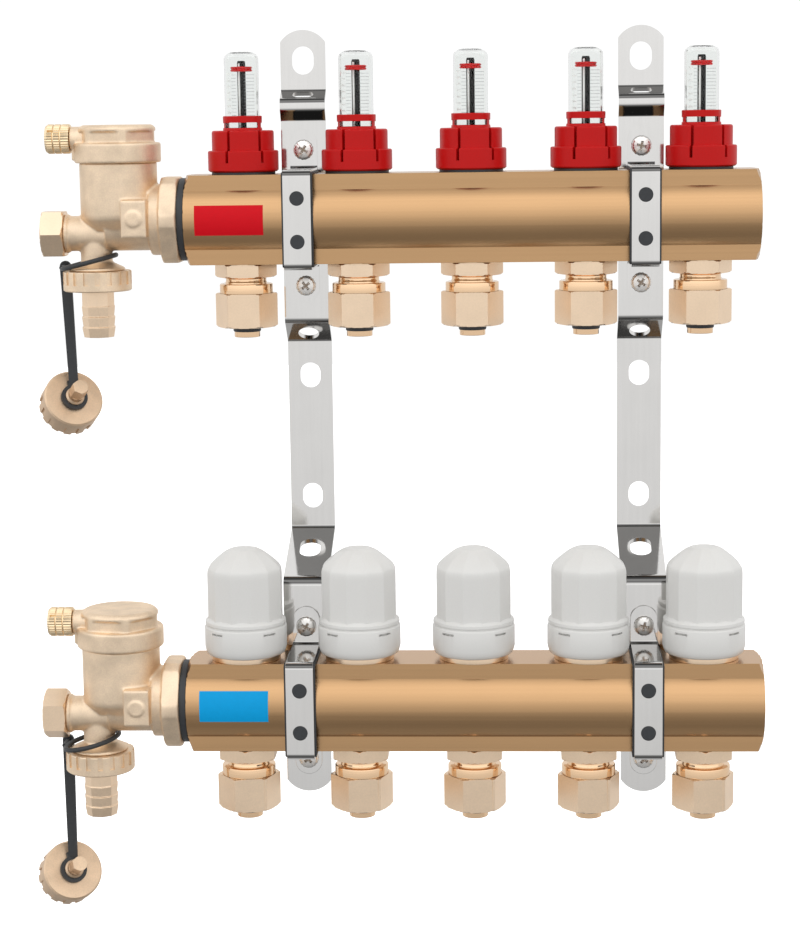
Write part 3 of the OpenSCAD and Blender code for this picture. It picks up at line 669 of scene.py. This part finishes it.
def punch(outline, centre, depth=16.0, turned=0.0):
    """An outline extruded to both sides of its centre along Y, turned about X."""
    tool = extruded("punch", outline, -depth / 2, depth / 2)
    tool.rotation_euler = (math.pi / 2 + math.radians(turned), 0, 0)
    tool.location = centre
    return settle(tool)


def round_ends(strip, width, low, high, radius, centre):
    middle_of = centre + Vector((0, 0, (low + high) / 2 * MM))
    return cut(strip, punch(rounded_outline(width + 0.01, high - low, radius), middle_of, 400),
               operation="INTERSECT")


# %% Two brackets
BRACKET_X = (0.0, 0.150)
SCREW_HEIGHTS = (29.5, -31.0)


def make_bracket(number, x):
    centre = Vector((x, 0, 0))
    up, low = axis["supply"].z / MM, axis["return"].z / MM
    tab, step, plate, wall, deep = -9.0, -16.4, -13.0, -1.0, -45.0
    corners = [(tab, up + 82.2), (tab, up + 55), (step, up + 51), (step, up + 47.4), (plate, up + 42.8),
               (plate, up - 46.8), (wall, up - 56.5), (wall, low + 65.5), (deep, low + 50),
               (deep, low - 46.8)]
    bends = (2.0, 2.0, 2.0, 2.2, 2.6, 2.4, 2.4, 3.8)
    width, thick, end_radius = 20.0, 2.0, 12.0
    strip = bent_strip("bracket", corners, bends, width, thick, centre)
    round_ends(strip, width, low - 46.8, up + 82.2, end_radius, centre)
    holes = [punch(rounded_outline(9.8, 12.4), centre + Vector((0, tab, up + 68.8)) * MM)]
    for end in (28, -28):
        holes.append(punch(rounded_outline(9.2, 11.6), centre + Vector((0, wall, end)) * MM))
    for side_z, y in ((up, plate), (low, deep)):
        for height in SCREW_HEIGHTS:
            holes.append(punch(rounded_outline(5.1, 5.1), centre + Vector((0, y, side_z + height)) * MM))
    for across, tall, y, z, turned in ((9.4, 4.8, -12.7, up + 53, -61.6), (9.4, 9.4, -5.8, 48.4, 51.0),
                                       (9.4, 15.5, -19.5, -50.0, -70.6)):
        holes.append(punch(rounded_outline(across, tall), centre + Vector((0, y, z)) * MM, 12, turned))
    cut(strip, *holes)
    soft_edges(strip, 0.3, 3, 50)
    side = ("left", "right")[number]
    return piece(strip, f"{side}_bracket_strip", plated_steel, stands_for=f"{side}_bracket")


for number, x in enumerate(BRACKET_X):
    print(make_bracket(number, x).name)


# %% Clamps over the bars
def make_clamp(side, x):
    centre = at(side, x)
    width, thick, stud_height = 12.0, 1.2, 9.35
    back, front, top, tip = 17.65, -19.85, 21.1, 38.5
    corners = [(back, tip), (back, top), (front, top), (front, -top), (back, -top), (back, -tip)]
    clamp = bent_strip("clamp", corners, (1.5, 2.4, 2.4, 1.5), width, thick, centre)
    round_ends(clamp, width, -tip, tip, width / 2, centre)
    holes = [punch(rounded_outline(5.1, 5.1), centre + Vector((0, back, height)) * MM, 8)
             for height in SCREW_HEIGHTS]
    holes += [punch(rounded_outline(6.3, 6.3), centre + Vector((0, front, height)) * MM, 8)
              for height in (stud_height, -stud_height)]
    return soft_edges(cut(clamp, *holes), 0.42, 3, 50)


for side in SIDES:
    pair = join(*[make_clamp(side, x) for x in BRACKET_X])
    piece(pair, f"{side}_clamp_straps", plated_steel, stands_for=f"{side}_clamps")
dressed("clamp_liners", black_rubber, 0.3, segments=3)
dressed("clamp_nuts", plated_steel, 0.2)
for number in range(1, 6):
    dressed(f"valve_pin_{number}", plated_steel, 0.3, f"valve_pin_{number}")

# %% [markdown]
# The clamp screws are pan heads with a cross slot. The slot narrows towards its bottom, so the lower
# face of the cross is scaled down before it is cut out of the head.

# %% Clamp screws
screw_steel = finish("screw_steel", (0.93, 0.91, 0.88), metal=1.0, rough=0.30, grain=(900, 900, 900),
                     bump=0.02, vary=0.02)
slot_shade = finish("slot_shade", (0.30, 0.24, 0.19), metal=1.0, rough=0.35, grain=(900, 900, 900),
                    bump=0.02, vary=0.05)


def cross(half_width, reach):
    """The twelve corners of a cross, from one arm's three corners turned four times."""
    corner = [(half_width, half_width), (half_width, reach), (-half_width, reach)]
    return [(x * c - y * d, x * d + y * c) for c, d in ((1, 0), (0, 1), (-1, 0), (0, -1))
            for x, y in corner]


def make_screw(turned):
    head_radius, rim, corner, crown = 4.4, 0.7, 1.3, 2.45
    edge = [(head_radius - corner + corner * math.cos(a), rim + corner * math.sin(a))
            for a in (math.radians(12 * k) for k in range(8))]
    head = turn("screw", [(0, 0), (head_radius, 0)] + edge + [(1.6, crown - 0.1), (0, crown)], steps=64)
    smooth(head, 40)
    recess = extruded("recess", cross(0.85, 2.9), 1.1, 4.0)
    pick_faces(recess, lambda centre, normal: normal.z < -0.5)
    bpy.ops.transform.resize(value=(0.55, 0.55, 1), center_override=(0, 0, 1.1 * MM))
    leave()
    cut(head, recess)
    # The thin dark cross laid at the bottom of the slot is painted shade.
    shade = extruded("shade", cross(0.42, 1.5), 1.0, 1.16)
    shank = turn("shank", [(0, 0.2), (2.45, 0.2), (2.45, -8.6), (2.0, -9.2), (0, -9.2)], steps=32)
    shank = join(smooth(shank), shade)
    head.data.materials.append(screw_steel)
    shank.data.materials.append(slot_shade)
    screw = join(head, shank)
    screw.rotation_euler = (0, 0, math.radians(turned))
    return settle(screw)


screws = []
head_back = 17.05
for side in SIDES:
    for count, x in enumerate(BRACKET_X):
        for height in SCREW_HEIGHTS:
            screw = make_screw(38 + 17 * count + (22 if height > 0 else 0))
            screw.rotation_euler = (math.pi / 2, 0, 0)
            settle(screw)
            screw.location = at(side, x, height, head_back)
            screws.append(settle(screw))
piece(join(*screws), "clamp_screws_finished", screw_steel, stands_for="clamp_screws")
print("screws:", len(screws))

# %% [markdown]
# ## Flow meters
#
# A clear tube with a domed top shows a red disc on a black rod. A red ring around its foot sets the
# flow. The ring is turned first. Six finger slots and a window through its collar are then cut out.

# %% Red setting rings
def make_flow_ring():
    top, step = bar_half + 19, bar_half + 10.3
    low = bar_half + 1.15
    ring = turn("ring", [
        (12.0, low), (14.6, low), (15.45, low + 0.7), (15.45, step - 0.6), (15.2, step - 0.15),
        (14.8, step), (13.75, step), (13.6, step + 0.2), (13.6, top - 0.9), (13.4, top - 0.3),
        (12.9, top), (8.6, top), (8.5, top + 1.1), (8.1, top + 1.2), (8.1, top + 3.2),
        (8.5, top + 3.3), (8.55, top + 6.0), (8.3, top + 6.3), (7.6, top + 6.3), (7.6, low + 15.5),
        (9.05, low + 15.5), (9.05, low + 1.4), (12.0, low + 1.4), (12.0, low)], steps=144)
    slots = []
    for k in range(6):
        turned = -111 + 60 * k
        reach = 15.0
        middle_of = (reach * math.cos(math.radians(turned)), reach * math.sin(math.radians(turned)))
        slots.append(block((8.2, 1.3, 16), (*middle_of, bar_half + 5.1 + 8), (0, 0, turned)))
    window = block((14.2, 40, 2.3), (0, 0, top + 2.3))
    cut(ring, *slots, window)
    return soft_edges(ring, 0.22, 2, 40)


ring_pattern = make_flow_ring()
for number, x in enumerate(circuit_x, 1):
    ring = copy_to(ring_pattern, f"ring_{number}", at("supply", x))
    piece(ring, f"setting_ring_{number}", red_plastic, f"flow_ring_{number}",
          f"flow_ring_{number}")
bpy.data.objects.remove(ring_pattern)
print("setting rings: 5")

# %% [markdown]
# The tube is a thin shell, so it is turned as a closed profile, out along the outside and back along
# the inside. The scale is a row of fine rings printed on the inner wall, and numbers would be too
# small to read, so there are only the marks.

# %% Sight glasses, scales, rods and discs
glass_radius, glass_top, glass_wall = 7.55, 72.3, 1.0
black_rod = finish("black_rod", (0.006, 0.006, 0.006), rough=0.30, grain=(300, 300, 300), bump=0.02,
                   vary=0.1, Specular_IOR_Level=0.15)
scale_print = finish("scale_print", (0.36, 0.37, 0.37), rough=0.5, grain=(800, 800, 800), bump=0.0,
                     vary=0.1)
# The same white finish serves the printed scale points and the painted highlight stripe on the rods.
white_print_and_painted_highlight = finish("white_print_and_painted_highlight", (0.85, 0.85, 0.84), rough=0.45, grain=(800, 800, 800), bump=0.0,
                     vary=0.02)


def make_glass():
    shoulder = 3.2
    centre = (glass_radius - shoulder, glass_top - shoulder)
    outside = rounded(centre, shoulder, 0, 90, 8)
    inside = rounded(centre, shoulder - glass_wall, 90, 0, 8)
    foot = bar_half + 4.5
    profile = [(glass_radius - glass_wall, foot), (glass_radius, foot), *outside, (0, glass_top),
               (0, glass_top - glass_wall), *inside, (glass_radius - glass_wall, foot)]
    return smooth(turn("glass", profile, steps=96), 45)


def make_marks(count, pitch, start, from_deg, to_deg, thick, radius):
    """Short arcs on the inner wall; the angle is counted from the front, to the right."""
    marks = []
    for k in range(count):
        z = start + k * pitch
        mark = turn("mark", [(radius - 0.12, z), (radius, z), (radius, z + thick),
                             (radius - 0.12, z + thick), (radius - 0.12, z)], steps=72)
        pick_faces(mark, lambda centre, normal: not from_deg < math.degrees(
            math.atan2(centre.x, -centre.y)) < to_deg)
        marks.append(keep_and_cap(mark))
    return join(*marks)


inner = glass_radius - glass_wall - 0.05
glass = make_glass()
dark_marks = join(make_marks(14, 1.45, 43.5, 14, 58, 0.17, inner),
                  make_marks(14, 1.45, 43.5, -36, -14, 0.17, inner))
light_marks = make_marks(8, 2.75, 43.2, -62, -38, 0.8, inner)
rod_profile = [(0, 28.0), (1.5, 28.0), (1.8, 28.4), (1.8, 67.6), (1.5, 68.5), (0, 68.5)]
disc_profile = [(0.5, 63.9), (4.4, 63.9), (4.75, 64.2), (4.75, 64.6), (4.4, 64.8), (4.4, 65.1),
                (4.75, 65.3), (4.75, 65.7), (4.4, 66.0), (0.5, 66.0), (0.5, 63.9)]
plate_profile = [(0.5, 28.0), (5.2, 28.0), (5.6, 28.4), (5.6, 29.6), (5.2, 30.0), (0.5, 30.0),
                 (0.5, 28.0)]
for number, x in enumerate(circuit_x, 1):
    place = at("supply", x)
    rod = smooth(turn("rod", rod_profile, place, 32), 40)
    rod.data.materials.append(black_rod)
    plate = smooth(turn("plate", plate_profile, place, 48), 30)
    plate.data.materials.append(black_rod)
    disc = smooth(turn("disc", disc_profile, place, 64), 30)
    disc.data.materials.append(red_plastic)
    # A thin white strip down the rod's front-left side is a painted highlight.
    highlight_stripe = turn("highlight_stripe", [(1.7, 30.2), (1.86, 30.2), (1.86, 67.4), (1.7, 67.4), (1.7, 30.2)],
                  place, 24)
    pick_faces(highlight_stripe, lambda c, n: not -40 < math.degrees(
        math.atan2(c.x - x / MM, axis["supply"].y / MM - c.y)) < -18)
    keep_and_cap(highlight_stripe)
    highlight_stripe.data.materials.append(white_print_and_painted_highlight)
    piece(join(disc, rod, plate, highlight_stripe), f"indicator_{number}", red_plastic,
          f"flow_indicator_{number}", f"flow_indicator_{number}")
glasses = [copy_to(glass, "tube", at("supply", x)) for x in circuit_x]
piece(join(*glasses), "sight_tubes", clear_plastic, stands_for="sight_glasses")
piece(join(*[copy_to(dark_marks, "marks", at("supply", x)) for x in circuit_x]), "scale_marks",
      scale_print)
piece(join(*[copy_to(light_marks, "marks", at("supply", x)) for x in circuit_x]), "scale_points",
      white_print_and_painted_highlight)
for pattern in (glass, dark_marks, light_marks):
    bpy.data.objects.remove(pattern)
print("flow meters: 5")

# %% [markdown]
# ## Hand caps
#
# The white caps close the valves of the return bar. The upper part is moulded with twelve flats
# that run on over the dome, so its profile is turned in only twelve steps. The skirt below is round,
# with four narrow slits for the clips inside.

# %% White hand caps
def make_hand_cap():
    low, shoulder, top, radius, skirt = 22.0, 37.8, 68.9, 16.3, 17.95
    falls = [(16.3, 12.0), (16.25, 10.4), (15.95, 9.0), (15.2, 7.8), (14.1, 6.6), (12.7, 5.3),
             (11.1, 3.95), (9.5, 2.65), (8.0, 1.6), (6.6, 0.85), (5.4, 0.45), (4.4, 0.55), (0, 0.7)]
    body = turn("cap", [(0, low + 8), (radius, low + 8)] + [(out, top - fall) for out, fall in falls],
                steps=12)
    body.data.transform(Matrix.Rotation(math.radians(15), 4, "Z"))
    soft_edges(body, 0.45, 3, 13)
    collar = turn("skirt", [
        (14.1, low), (skirt - 1.6, low), (skirt - 0.9, low + 0.5), (skirt - 0.35, low + 2.0),
        (skirt, low + 3.4), (skirt, shoulder - 3.8), (skirt - 0.15, shoulder - 3.4),
        (skirt - 0.9, shoulder - 2.9), (skirt - 0.9, shoulder - 2.3), (skirt - 0.3, shoulder - 2.1),
        (skirt - 0.4, shoulder - 0.9), (radius - 0.1, shoulder + 0.4), (radius - 1.2, shoulder + 0.7),
        (12.4, shoulder + 0.7), (12.4, low + 9.5), (14.1, low + 9.4), (14.1, low)], steps=120)
    slits = []
    for centre_deg in (-38, 42, 142, -138):
        slit = turn("slit", [(skirt - 1.6, 32.2), (skirt + 1, 32.2), (skirt + 1, 33.1),
                             (skirt - 1.6, 33.1), (skirt - 1.6, 32.2)], steps=90)
        pick_faces(slit, lambda c, n: abs((math.degrees(math.atan2(c.x, -c.y)) - centre_deg + 180)
                                          % 360 - 180) > 8.5)
        slits.append(keep_and_cap(slit))
    cut(collar, *slits)
    smooth(collar, 38)
    return join(body, collar)


cap_pattern = make_hand_cap()
for number, x in enumerate(circuit_x, 1):
    cap = copy_to(cap_pattern, f"cap_{number}", at("return", x))
    piece(cap, f"hand_cap_{number}", white_plastic, f"handwheel_{number}",
          f"handwheel_{number}")
bpy.data.objects.remove(cap_pattern)
print("hand caps: 5")

# %% [markdown]
# ## The end units
#
# Hot pressed brass, blasted. Their edges have the soft run-outs of a die, and where two shapes meet
# there is a fillet. A voxel remesh followed by smoothing gives exactly that: it wraps the engineering
# part in an even skin, and the smoothing melts the inner corners a little.

# %% Castings
def cast(node, voxel, rounds, name, body=ROOT, material=blasted_brass):
    obj = merged_copy(node)
    apply_modifier(obj, "REMESH", mode="VOXEL", voxel_size=voxel * MM, use_smooth_shade=True)
    apply_modifier(obj, "SMOOTH", factor=0.5, iterations=rounds)
    smooth(obj, 60)
    print(name, len(obj.data.polygons), "faces")
    return piece(obj, name, material, body, node)


for side in SIDES:
    cast(f"{side}_end_body", 0.55, 4, f"{side}_end_casting")
cast("vent_lids", 0.45, 2, "vent_chamber_lids")
for side in SIDES:
    dressed(f"{side}_drain_spindle", turned_brass, 0.3, f"{side}_drain_spindle")
    dressed(f"{side}_union_nut", blasted_brass, 0.45, f"{side}_union_nut", 3)
    dressed(f"{side}_drain_cap", dull_brass, 0.4, f"{side}_drain_cap", 3)

# %% [markdown]
# Three small parts are turned again. The drain bonnet is one more hexagon with turned ends. The hose
# tail has ten sides, so it is turned in ten steps. The vent cap is ribbed: every second point of its
# rim is drawn in.

# %% Drain bonnets, hose tails and vent caps
END_X = bar_low.x
BONNET_X, BONNET_Z = -54.7, -5.7
SPIGOT_X = -41.3


def lay_left(obj, side, x, z):
    """Turns a part drawn upwards to the left and puts it on the end unit."""
    obj.rotation_euler = (0, -math.pi / 2, 0)
    settle(obj)
    obj.location = at(side, END_X + x * MM, z)
    return settle(obj)


def make_bonnet(side, turned):
    depth = 9.9
    six = hexagon("bonnet", 19.5, 0, depth, 11.3, 9.85, turned=turned)
    hole = turn("hole", [(0, -1), (4.1, -1), (4.1, depth - 0.3), (4.4, depth + 1), (0, depth + 1)], steps=48)
    cut(six, hole)
    neck = turn("neck", [(4.1, -6), (4.9, -6), (4.9, 0.3), (4.1, 0.3), (4.1, -6)], steps=48)
    return lay_left(join(smooth(six, 35), smooth(neck)), side, BONNET_X, BONNET_Z)


bonnets = [make_bonnet(side, turned) for side, turned in (("supply", 30), ("return", 0))]
piece(join(*bonnets), "drain_bonnets_barrelled", nut_brass, stands_for="drain_bonnets")


def make_tail(side):
    low = (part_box("hose_tails")[0].z - axis["return"].z) / MM
    barb, bore, flange, flange_low, flange_top = 7.7, 5.0, 10.9, 22.3, 23.6
    steps = [(barb - 0.8, 0), (barb, 4.4), (barb - 0.5, 4.8), (barb, 9.0), (barb - 0.5, 9.4),
             (barb, 13.6), (barb - 0.3, 14.0), (barb - 0.3, flange_low), (flange, flange_low),
             (flange, flange_top)]
    tail = turn("tail", [(bore, low)] + [(out, low + up) for out, up in steps]
                + [(bore, low + flange_top), (bore, low)], steps=10)
    tail.data.transform(Matrix.Rotation(math.radians(9), 4, "Z"))
    soft_edges(tail, 0.15, 2, 20)
    tail.location = at(side, END_X + SPIGOT_X * MM)
    return settle(tail)


piece(join(*[make_tail(side) for side in SIDES]), "hose_tails_barbed", nut_brass,
      stands_for="hose_tails")


yellow_brass = finish("yellow_brass", (0.93, 0.74, 0.49), metal=1.0, rough=0.34, grain=(900, 900, 900),
                      bump=0.03, vary=0.03, rough_vary=0.04)


def make_vent_cap(side):
    low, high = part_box(f"{side}_vent_cap")
    radius, tall, ribs = 6.45, (high.x - low.x) / MM, 34
    profile = [(2.55, 0), (radius - 0.3, 0), (radius, 0.5)]
    for groove in (3.4, 6.6):
        profile += [(radius, groove), (radius - 0.55, groove + 0.15), (radius - 0.55, groove + 0.5),
                    (radius, groove + 0.65)]
    profile += [(radius, tall - 1.0), (radius - 0.7, tall), (0, tall), (0, tall - 3.3), (2.55, tall - 3.3),
                (2.55, 0)]
    cap = turn("vent_cap", profile, steps=2 * ribs)
    for point in cap.data.vertices:
        out = math.hypot(point.co.x, point.co.y)
        count = round(math.atan2(point.co.y, point.co.x) / math.pi * ribs)
        if out > (radius - 0.1) * MM and count % 2:
            point.co.x *= 1 - 0.35 * MM / out
            point.co.y *= 1 - 0.35 * MM / out
    cut(cap, block((3, 1.1, 2.6), (radius, 0, tall - 2.6)))
    cap.data.transform(Matrix.Rotation(math.radians(-55), 4, "Z"))
    smooth(cap, 20)
    cap.rotation_euler = (0, -math.pi / 2, 0)
    settle(cap)
    cap.location = Vector((high.x, (low.y + high.y) / 2, (low.z + high.z) / 2))
    return piece(settle(cap), f"{side}_vent_cap_ribbed", yellow_brass, f"{side}_vent_cap",
                 f"{side}_vent_cap")


for side in SIDES:
    print(make_vent_cap(side).name)

# %% [markdown]
# ## Rubber loops and straps
#
# Each drain cap hangs on a rubber moulding: a round cord lies around the spigot's cone, and a flat
# strap comes down from it to a ring around the cap's spindle.

# %% Loops and straps
def make_loop(side):
    bpy.ops.object.select_all(action="DESELECT")
    bpy.ops.mesh.primitive_torus_add(major_segments=96, minor_segments=20, major_radius=12.2 * MM,
                                     minor_radius=1.05 * MM, rotation=(0, math.radians(-14), 0))
    loop = settle(bpy.context.object)
    loop.location = at(side, END_X + (SPIGOT_X - 3.4) * MM, -18.3)
    settle(loop)
    peg = joints[f"{side}_tether_swing"]["pos_m"]
    pin = turn("pin", [(0, -10), (0.9, -10), (0.9, 1.2), (1.6, 1.3), (1.6, 1.9), (1.2, 2.2), (0, 2.2)],
               steps=32)
    pin.rotation_euler = (-math.pi / 2, 0, 0)
    settle(pin)
    pin.location = Vector(peg)
    return join(smooth(loop, 60), smooth(settle(pin), 40))


piece(join(*[make_loop(side) for side in SIDES]), "spigot_loops", black_rubber,
      stands_for="tether_loops")
for side in SIDES:
    dressed(f"{side}_tether", black_rubber, 0.45, f"{side}_tether", 3)
print("straps: 2")

# %% [markdown]
# ## Labels
#
# A red foil label marks the warm bar and a blue one the cool bar. They are bent around the bar, so a
# flat grid is wrapped by moving each of its points back by the depth of the circle at its height.
# Both stay blank.

# %% Foil labels
label_red = finish("label_red", (0.66, 0.004, 0.012), rough=0.42, grain=(500, 500, 500), bump=0.0,
                   vary=0.02, Specular_IOR_Level=0.12)
label_blue = finish("label_blue", (0.002, 0.34, 0.72), rough=0.42, grain=(500, 500, 500), bump=0.0,
                    vary=0.02, Specular_IOR_Level=0.12)


def wrap(obj, side, x_left, lift):
    """Bends a flat outline in the XY plane around the bar's front."""
    radius = 18.25 + lift
    for point in obj.data.vertices:
        across, up = point.co.x, point.co.y
        deep = -math.sqrt(radius ** 2 - (up / MM) ** 2)
        point.co = at(side, x_left * MM + across, up / MM, deep)
    return obj


def label_sheet(side, x_left, width, low, high, colour, name):
    bpy.ops.object.select_all(action="DESELECT")
    bpy.ops.mesh.primitive_grid_add(x_subdivisions=4, y_subdivisions=16, size=1)
    sheet = bpy.context.object
    sheet.scale = (width * MM, (high - low) * MM, 1)
    sheet.location = (width / 2 * MM, (low + high) / 2 * MM, 0)
    settle(sheet)
    wrap(sheet, side, x_left, 0.14)
    apply_modifier(sheet, "SOLIDIFY", thickness=0.10 * MM, offset=-1)
    return piece(smooth(sheet, 40), name, colour)


label_sheet("supply", -45, 30, -6.4, 6.6, label_red, "supply_label")
label_sheet("return", -44, 30, -5.0, 8.4, label_blue, "return_label")
print("labels: 2")

# %% [markdown]
# ## Floor, light and camera
#
# The object is lit as in a catalogue: all around it is white, with a bright roof in front of it and a
# darker floor and back wall that give metal its contrast. The background light paints these by
# direction, for what the surfaces mirror, and plain white for what the camera sees behind them.

# %% A pale floor
bpy.ops.object.select_all(action="DESELECT")
bpy.ops.mesh.primitive_plane_add(size=6, location=(0.075, 0, -0.30))
floor = bpy.context.object
floor.name = "floor"
floor_paint = finish("floor_paint", (0.93, 0.93, 0.93), rough=0.9, grain=(5, 5, 5), bump=0.0, vary=0.0,
                     Emission_Color=(1, 1, 1, 1), Emission_Strength=0.55)
floor.data.materials.append(floor_paint)
floor.visible_glossy = False
floor.visible_diffuse = False


# %% Studio light from all around
def studio_world():
    world = bpy.data.worlds.new("studio")
    bpy.context.scene.world = world
    world.use_nodes = True
    tree = world.node_tree
    tree.nodes.clear()
    new, link = tree.nodes.new, tree.links.new
    direction = new("ShaderNodeTexCoord").outputs["Generated"]
    front = [(-90, 0.26), (-60, 0.20), (-42, 0.24), (-26, 0.29), (-14, 0.50), (-3, 0.58), (14, 0.80),
             (32, 0.95), (50, 1.0), (60, 0.90), (72, 0.62), (90, 0.50)]
    back = [(-90, 0.26), (-60, 0.30), (-30, 0.45), (-8, 0.56), (12, 0.58), (40, 0.62), (60, 0.60),
            (90, 0.50)]
    mirrored = new("ShaderNodeBackground")
    mirrored.inputs["Strength"].default_value = 1.5
    link(brightness_around(tree, direction, front, back), mirrored.inputs["Color"])
    white = new("ShaderNodeBackground")
    white.inputs["Color"].default_value = (1, 1, 1, 1)
    white.inputs["Strength"].default_value = 1.05
    ray = new("ShaderNodeLightPath")
    seen = new("ShaderNodeMath")
    seen.operation = "MAXIMUM"
    link(ray.outputs["Is Glossy Ray"], seen.inputs[0])
    link(ray.outputs["Is Diffuse Ray"], seen.inputs[1])
    choose = new("ShaderNodeMixShader")
    link(seen.outputs["Value"], choose.inputs["Fac"])
    link(white.outputs["Background"], choose.inputs[1])
    link(mirrored.outputs["Background"], choose.inputs[2])
    output = new("ShaderNodeOutputWorld")
    link(choose.outputs["Shader"], output.inputs["Surface"])
    return world


studio_world()
bpy.context.scene.view_settings.view_transform = "Standard"
print("world:", bpy.context.scene.world.name)

# %% [markdown]
# The camera stands a metre in front of the manifold, level with the flow meters and tipped down a
# little, with a long lens.

# %% Camera
def look(place, yaw, pitch, roll, lens):
    data = bpy.data.cameras.new("camera")
    data.lens = lens
    data.sensor_width = 36
    data.sensor_fit = "HORIZONTAL"
    data.clip_end = 20
    camera = bpy.data.objects.new("camera", data)
    bpy.context.scene.collection.objects.link(camera)
    yaw, pitch, roll = (math.radians(a) for a in (yaw, pitch, roll))
    ahead = Vector((-math.sin(yaw) * math.cos(pitch), math.cos(yaw) * math.cos(pitch), -math.sin(pitch)))
    right = Vector((math.cos(yaw), math.sin(yaw), 0))
    up = right.cross(ahead)
    across = math.cos(roll) * right + math.sin(roll) * up
    above = -math.sin(roll) * right + math.cos(roll) * up
    turn_matrix = Matrix((across, above, -ahead)).transposed().to_4x4()
    camera.matrix_world = Matrix.Translation(place) @ turn_matrix
    bpy.context.scene.camera = camera
    return camera


camera = look(Vector((0.0936, -1.0406, 0.1477)), yaw=2.925, pitch=8.838, roll=-0.770, lens=102.9)
print("camera at", [round(v, 3) for v in camera.location])
